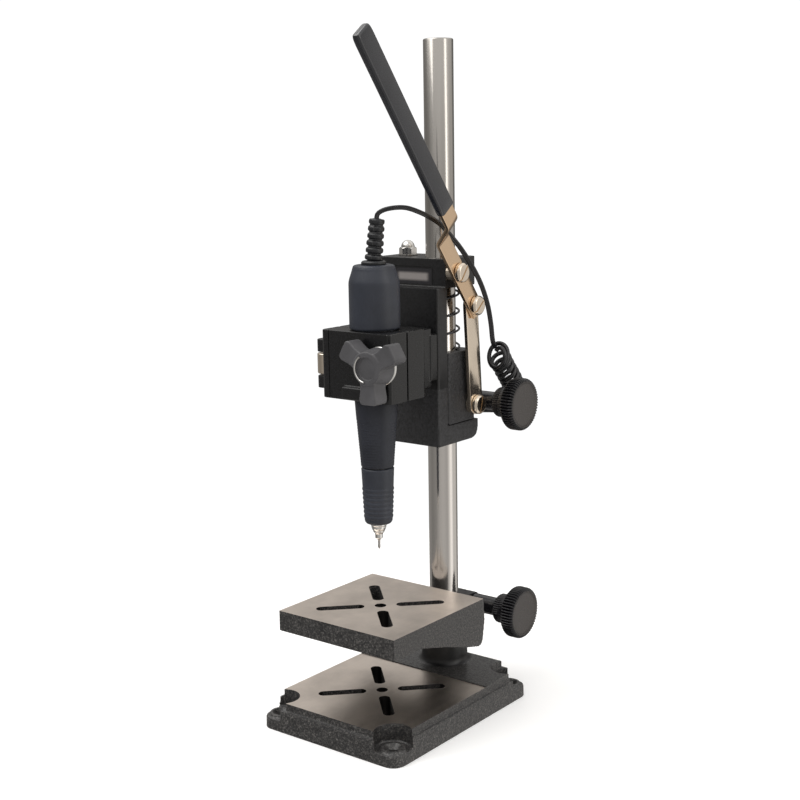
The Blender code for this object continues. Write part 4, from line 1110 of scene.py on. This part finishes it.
def star():
    """Three-lobed moulded nut with a dished hub, a thin bright arc in front of its face and a washer behind
    it.
    """
    front, rear = -0.0985, -0.0863
    hub = pole("Y", (STAR_X, STAR_Z), rear, front, 0.0114, 0.0098)
    lobes = []
    for third in range(3):
        outline = [(-0.0060, -0.002), (-0.0052, -0.0120), (-0.0064, -0.0190), (-0.0052, -0.0214),
                   (0.0052, -0.0214), (0.0064, -0.0190), (0.0052, -0.0120), (0.0060, -0.002)]
        bm = drawn_out([(x, rear - 0.0006, z) for x, z in rounded(outline, 0.0016, 3)],
                       (0, front - rear + 0.0012, 0))
        turn = Matrix.Rotation(third * 2 * pi / 3, 4, "Y")
        bmesh.ops.transform(bm, matrix=Matrix.Translation((STAR_X, 0, STAR_Z)) @ turn, verts=bm.verts)
        lobes.append(as_object(bm))
    body = cast([hub, *lobes], 0.0004, 7)
    dish = lathe(rounded([(0, 0.0), (0.0066, 0.0), (0.0078, -0.004), (0, -0.004)], 0.0005),
                 (STAR_X, front + 0.0011, STAR_Z), (0, 1, 0), 64)
    carve(body, dish, pole("Y", (STAR_X, STAR_Z), -0.08, -0.0953, 0.0028, sides=32))
    piece(body, "star_visual", "star", "star", "star_knob", 40)
    ring = [(0.0029, 0.0022), (0.0110, 0.0022), (0.0115, 0.0017), (0.0115, 0.0006), (0.0029, 0.0006)]
    disc = lathe(rounded(ring, 0.0002, 3), (STAR_X, -0.0838, STAR_Z), (0, -1, 0), 96)
    # a thin polished arc in front of the nut's face, on the left of its hub
    bow = [radians(120 + 140 * i / 30) for i in range(31)]
    arc = [(STAR_X + 0.0080 * cos(a), front - 0.0007, STAR_Z + 0.0080 * sin(a)) for a in bow]
    bright_arc = sweep(arc, circle(0.0006, 10))
    piece(bright_arc, "star_bright_arc", "star", "bright", (), 60)
    piece(disc, "star_washer_visual", "star", "bright", "star_washer")


# ---- handpiece ----
def housing():
    outline = [(0.0120, 0.2558), (0.0132, 0.2552), (0.0132, 0.2052), (0.0087, 0.2052), (0.0087, 0.2072),
               (0.0120, 0.2072)]
    piece(lathe(rounded(outline, 0.0003), AXIS), "motor_housing_visual", "slide", "shell", "motor_housing")
    cap = [(0.0042, 0.2850), (0.0112, 0.2850), (0.0123, 0.2845), (0.0130, 0.2826), (0.0131, 0.2820),
           (0.0148, 0.2768), (0.0152, 0.2752), (0.0153, 0.2738), (0.0153, 0.2480), (0.0149, 0.2470),
           (0.0135, 0.2470),
           (0.0135, 0.2735), (0.0108, 0.2825), (0.0042, 0.2825)]
    piece(lathe(rounded(cap, 0.0007, 4), AXIS, steps=128), "rear_cap_visual", "slide", "shell", "rear_cap")


def grip_sleeve():
    """Smooth cone with four low pads of fine ribs near its lower end."""
    outline = [(0.0128, 0.2048), (0.0132, 0.2042), (0.0126, 0.1950)]
    top, foot, steps = 0.1935, 0.1638, 130
    pads_low, pads_high, pitch = 0.1640, 0.1925, 0.00175
    for i in range(steps + 1):
        z = top - (top - foot) * i / steps
        outline.append((0.0102 + 0.0024 * (z - pads_low) / 0.031, z))
    outline += [(0.0100, 0.1630), (0.0096, 0.1624), (0.0087, 0.1624), (0.0087, 0.2048)]

    def pads(radius, height, angle):
        if not pads_low < height < pads_high or radius < 0.0095:
            return radius
        spread = (angle - radians(200)) % (pi / 2)
        spread = min(spread, pi / 2 - spread)
        edge = ease((radians(34) - spread) / radians(7))
        ends = ease((pads_high - height) / 0.002) * ease((height - pads_low) / 0.001)
        return radius - 0.00018 * edge * ends * (0.5 + 0.5 * cos(2 * pi * height / pitch))
    piece(lathe(outline, AXIS, steps=160, shape=pads), "grip_sleeve_visual", "slide", "grip", "grip_sleeve",
          60)


def nose():
    """Turning nose ring: plain above, seven shallow ribs below."""
    outline = [(0.0094, 0.1620), (0.0101, 0.1612)]
    top, foot, steps = 0.1605, 0.1290, 160
    ribs_low, ribs_high, pitch = 0.1300, 0.1500, 0.00286
    for i in range(steps + 1):
        z = top - (top - foot) * i / steps
        radius = 0.0086 + 0.0014 * (z - foot) / 0.0315
        if ribs_low < z < ribs_high:
            wave = sin(pi * (z - ribs_low) / pitch) ** 2
            radius += 0.00042 * wave ** 0.7 - 0.0001
        outline.append((radius, z))
    outline += [(0.0083, 0.1280), (0.0076, 0.1272), (0.0053, 0.1272), (0.0053, 0.1435), (0.0086, 0.1450),
                (0.0086, 0.1620)]
    piece(lathe(outline, AXIS, steps=96), "nose_ring_visual", "nose", "shell", "nose_ring",
          50)


def collet():
    outline = [(0.0048, 0.1395), (0.0048, 0.1272), (0.0051, 0.1268), (0.0051, 0.1258), (0.0046, 0.1252),
               (0.0046, 0.1243), (0.0040, 0.1226), (0.0036, 0.1222), (0.0036, 0.1214), (0.0027, 0.1205),
               (0.0024, 0.1198), (0.0024, 0.1176), (0.0020, 0.1170), (0.00148, 0.1170), (0.00148, 0.1395)]
    solid = lathe(rounded(outline, 0.0003, 3), AXIS, steps=72)
    slots = []
    for i in range(3):
        slot = block((0.0012, -0.00022, 0.1165), (0.0060, 0.00022, 0.1212))
        slots.append(turned(slot, AXIS, radians(20 + 120 * i)))
    carve(solid, merged(slots))
    piece(solid, "collet_visual", "spindle", "bright", "collet", 30)

    def flutes(radius, height, angle):
        if height > 0.1158 or radius < 0.0004:
            return radius
        return radius * (0.80 + 0.20 * abs(cos(angle - 1100 * height)))
    outline = [(0, 0.131), (0.00118, 0.131), (0.00118, 0.1168), (0.0009, 0.1158)]
    outline += [(0.0008, 0.1156 - 0.0044 * i / 22) for i in range(23)]
    outline += [(0.0005, 0.1106), (0, 0.1101)]
    piece(lathe(outline, AXIS, steps=32, shape=flutes), "drill_bit_visual", "spindle", "steel", "drill_bit",
          60)


def strain_relief():
    """Flange, and a ribbed sleeve whose ribs thin out towards the cord."""
    outline = [(0, 0.2874), (0.0066, 0.2874), (0.0075, 0.2866), (0.0075, 0.2852), (0.0039, 0.2852),
               (0.0039, 0.2790), (0, 0.2790)]
    flange = lathe(rounded(outline, 0.0003, 3), AXIS, steps=72)
    ribs = 6
    pitch = RELIEF_LONG / ribs
    outline = [(0, RELIEF_LONG), (0.0022, RELIEF_LONG), (0.0030, RELIEF_LONG - 0.0004)]
    for rib in range(ribs):
        top = RELIEF_LONG - rib * pitch
        bulge = 0.0048 + 0.0007 * rib / (ribs - 1)
        outline += [(bulge - 0.0004, top - 0.10 * pitch), (bulge, top - 0.28 * pitch),
                    (bulge, top - 0.60 * pitch), (bulge - 0.0003, top - 0.74 * pitch),
                    (0.0040, top - 0.82 * pitch), (0.0040, top - 0.99 * pitch)]
    outline += [(0.0034, -0.001), (0, -0.001)]

    def notches(radius, height, angle):
        rib = int((RELIEF_LONG - height) / pitch)
        if radius < 0.0041 or not 0 <= rib < ribs:
            return radius
        facing = cos(2 * (angle - (pi / 2 if rib % 2 else 0) - radians(35)))
        return radius - 0.0006 * ease((facing - 0.86) / 0.1)
    sleeve = lathe(rounded(outline, 0.0003, 2), RELIEF_BASE, RELIEF_LEAN, 72, notches)
    piece(merged([flange, sleeve]), "strain_relief_visual", "slide", "relief", "strain_relief", 40)


# ---- lever and link ----
def lever_matrix():
    """Takes (along the lever, across it, x) to world space."""
    up = Vector((0, -cos(LEVER_ANGLE), sin(LEVER_ANGLE)))
    across = Vector((0, sin(LEVER_ANGLE), cos(LEVER_ANGLE)))
    turn = Matrix((up, across, Vector((1, 0, 0)))).transposed().to_4x4()
    return Matrix.Translation((0, *LEVER_PIVOT)) @ turn


def lower_screw_spot():
    y, z = LEVER_PIVOT
    return y + LEVER_CRANK * cos(LEVER_ANGLE), z - LEVER_CRANK * sin(LEVER_ANGLE)


def lever():
    middle = LEVER_IN + BAR_THICK / 2
    turns = rounded([(-LEVER_CRANK - BAR_WIDTH / 2, middle), (JOGGLE_START - 0.0005, middle),
                     (JOGGLE_END - 0.0005, middle + JOGGLE), (0.064, middle + JOGGLE)], 0.0022, 8)
    path = [(t, 0.0, x) for t, x in turns]
    bar = sweep(path, rounded_box(BAR_WIDTH, BAR_THICK, 0.00035, 3), (0, 1, 0))
    bar.data.transform(lever_matrix())
    piece(bar, "lever_bar_visual", "lever", "bar", "lever_bar", 30)

    x = middle + JOGGLE
    tip = 0.008
    stations = [(GRIP_START, 0.90), (GRIP_START + 0.0007, 1.0)]
    stations += [(GRIP_START + (GRIP_END - tip - GRIP_START) * i / 20, 1.0) for i in range(1, 21)]
    stations += [(GRIP_END - tip + tip * sin(pi / 2 * i / 10),
                  sqrt(max(0.0, 1 - (i / 10) ** 2.6)) * 0.98 + 0.02) for i in range(1, 11)]
    stations.sort()
    path = [(t, 0.0, x) for t, _ in stations]
    widths = [(0.60 + 0.40 * s if s < 1 else 1.0, s ** 0.6) for _, s in stations]
    grip = sweep(path, rounded_box(0.0136, 0.0056, 0.0019, 6), (0, 1, 0), widths)
    grip.data.transform(lever_matrix())
    piece(grip, "lever_grip_visual", "lever", "vinyl", "lever_grip", 45)
    slotted_screw("lever_link_screw_visual", "lever", "lever_link_screw", lower_screw_spot(), 0.0162,
                  LEVER_IN + BAR_THICK + 0.0003, 0.0016, 40)


def link():
    (y0, z0), (y1, z1) = LINK_ANCHOR, lower_screw_spot()
    slope = atan2(z1 - z0, y1 - y0)
    long = hypot(y1 - y0, z1 - z0)
    half = 0.0065
    outline = []
    for centre, start in ((0.0, pi / 2), (long, -pi / 2)):
        for i in range(25):
            angle = start + pi * i / 24
            along, across = centre + half * cos(angle), half * sin(angle)
            outline.append((y0 + along * cos(slope) - across * sin(slope),
                            z0 + along * sin(slope) + across * cos(slope)))
    bar = plate_x(outline, LINK_IN, LINK_IN + BAR_THICK, 0.0003)
    carve(bar, pole("X", (y0, z0), 0, 0.03, 0.0025, sides=32), pole("X", (y1, z1), 0, 0.03, 0.0042))
    piece(bar, "link_visual", "link", "nickel", "link_bar", 30)


base()
column()
table()
knob("table_knob_visual", "table_knob", "table_knob", TABLE_SCREW_Z)
knob("head_knob_visual", "head_knob", "head_knob", COLLAR_SCREW_Z)
collar()
spring()
head_frame()
guide_rod()
slotted_screw("lever_pivot_screw_visual", "slide", "lever_pivot_screw", LEVER_PIVOT, 0.0070,
              LEVER_IN + BAR_THICK + 0.0003, 0.0025, 52)
slotted_screw("link_anchor_screw_visual", "head", "link_anchor_screw", LINK_ANCHOR, 0.0089,
              LINK_IN + BAR_THICK + 0.0003, 0.0022, 75)
bracket()
jaw()
star()
housing()
grip_sleeve()
nose()
collet()
strain_relief()
lever()
link()
REPAINTED = {
    "steel": ("table_clamp_nut", "table_clamp_stud", "head_clamp_nut", "head_clamp_stud", "front_bearing",
              "rear_bearing", "spindle_housing", "motor_bearing", "star_stud", "spindle_shaft"),
    "dark_steel": ("column_set_screw", "bracket_screw_left", "bracket_screw_right", "motor_magnets"),
    "screw": ("link_washer", "lever_spacer", "hinge_pin"),
    "plate": ("label_plate",), "knob": ("brush_plate",), "copper": ("motor_rotor",),
}
for coat, nodes in REPAINTED.items():
    for cad_node in nodes:
        repaint(cad_node, coat)
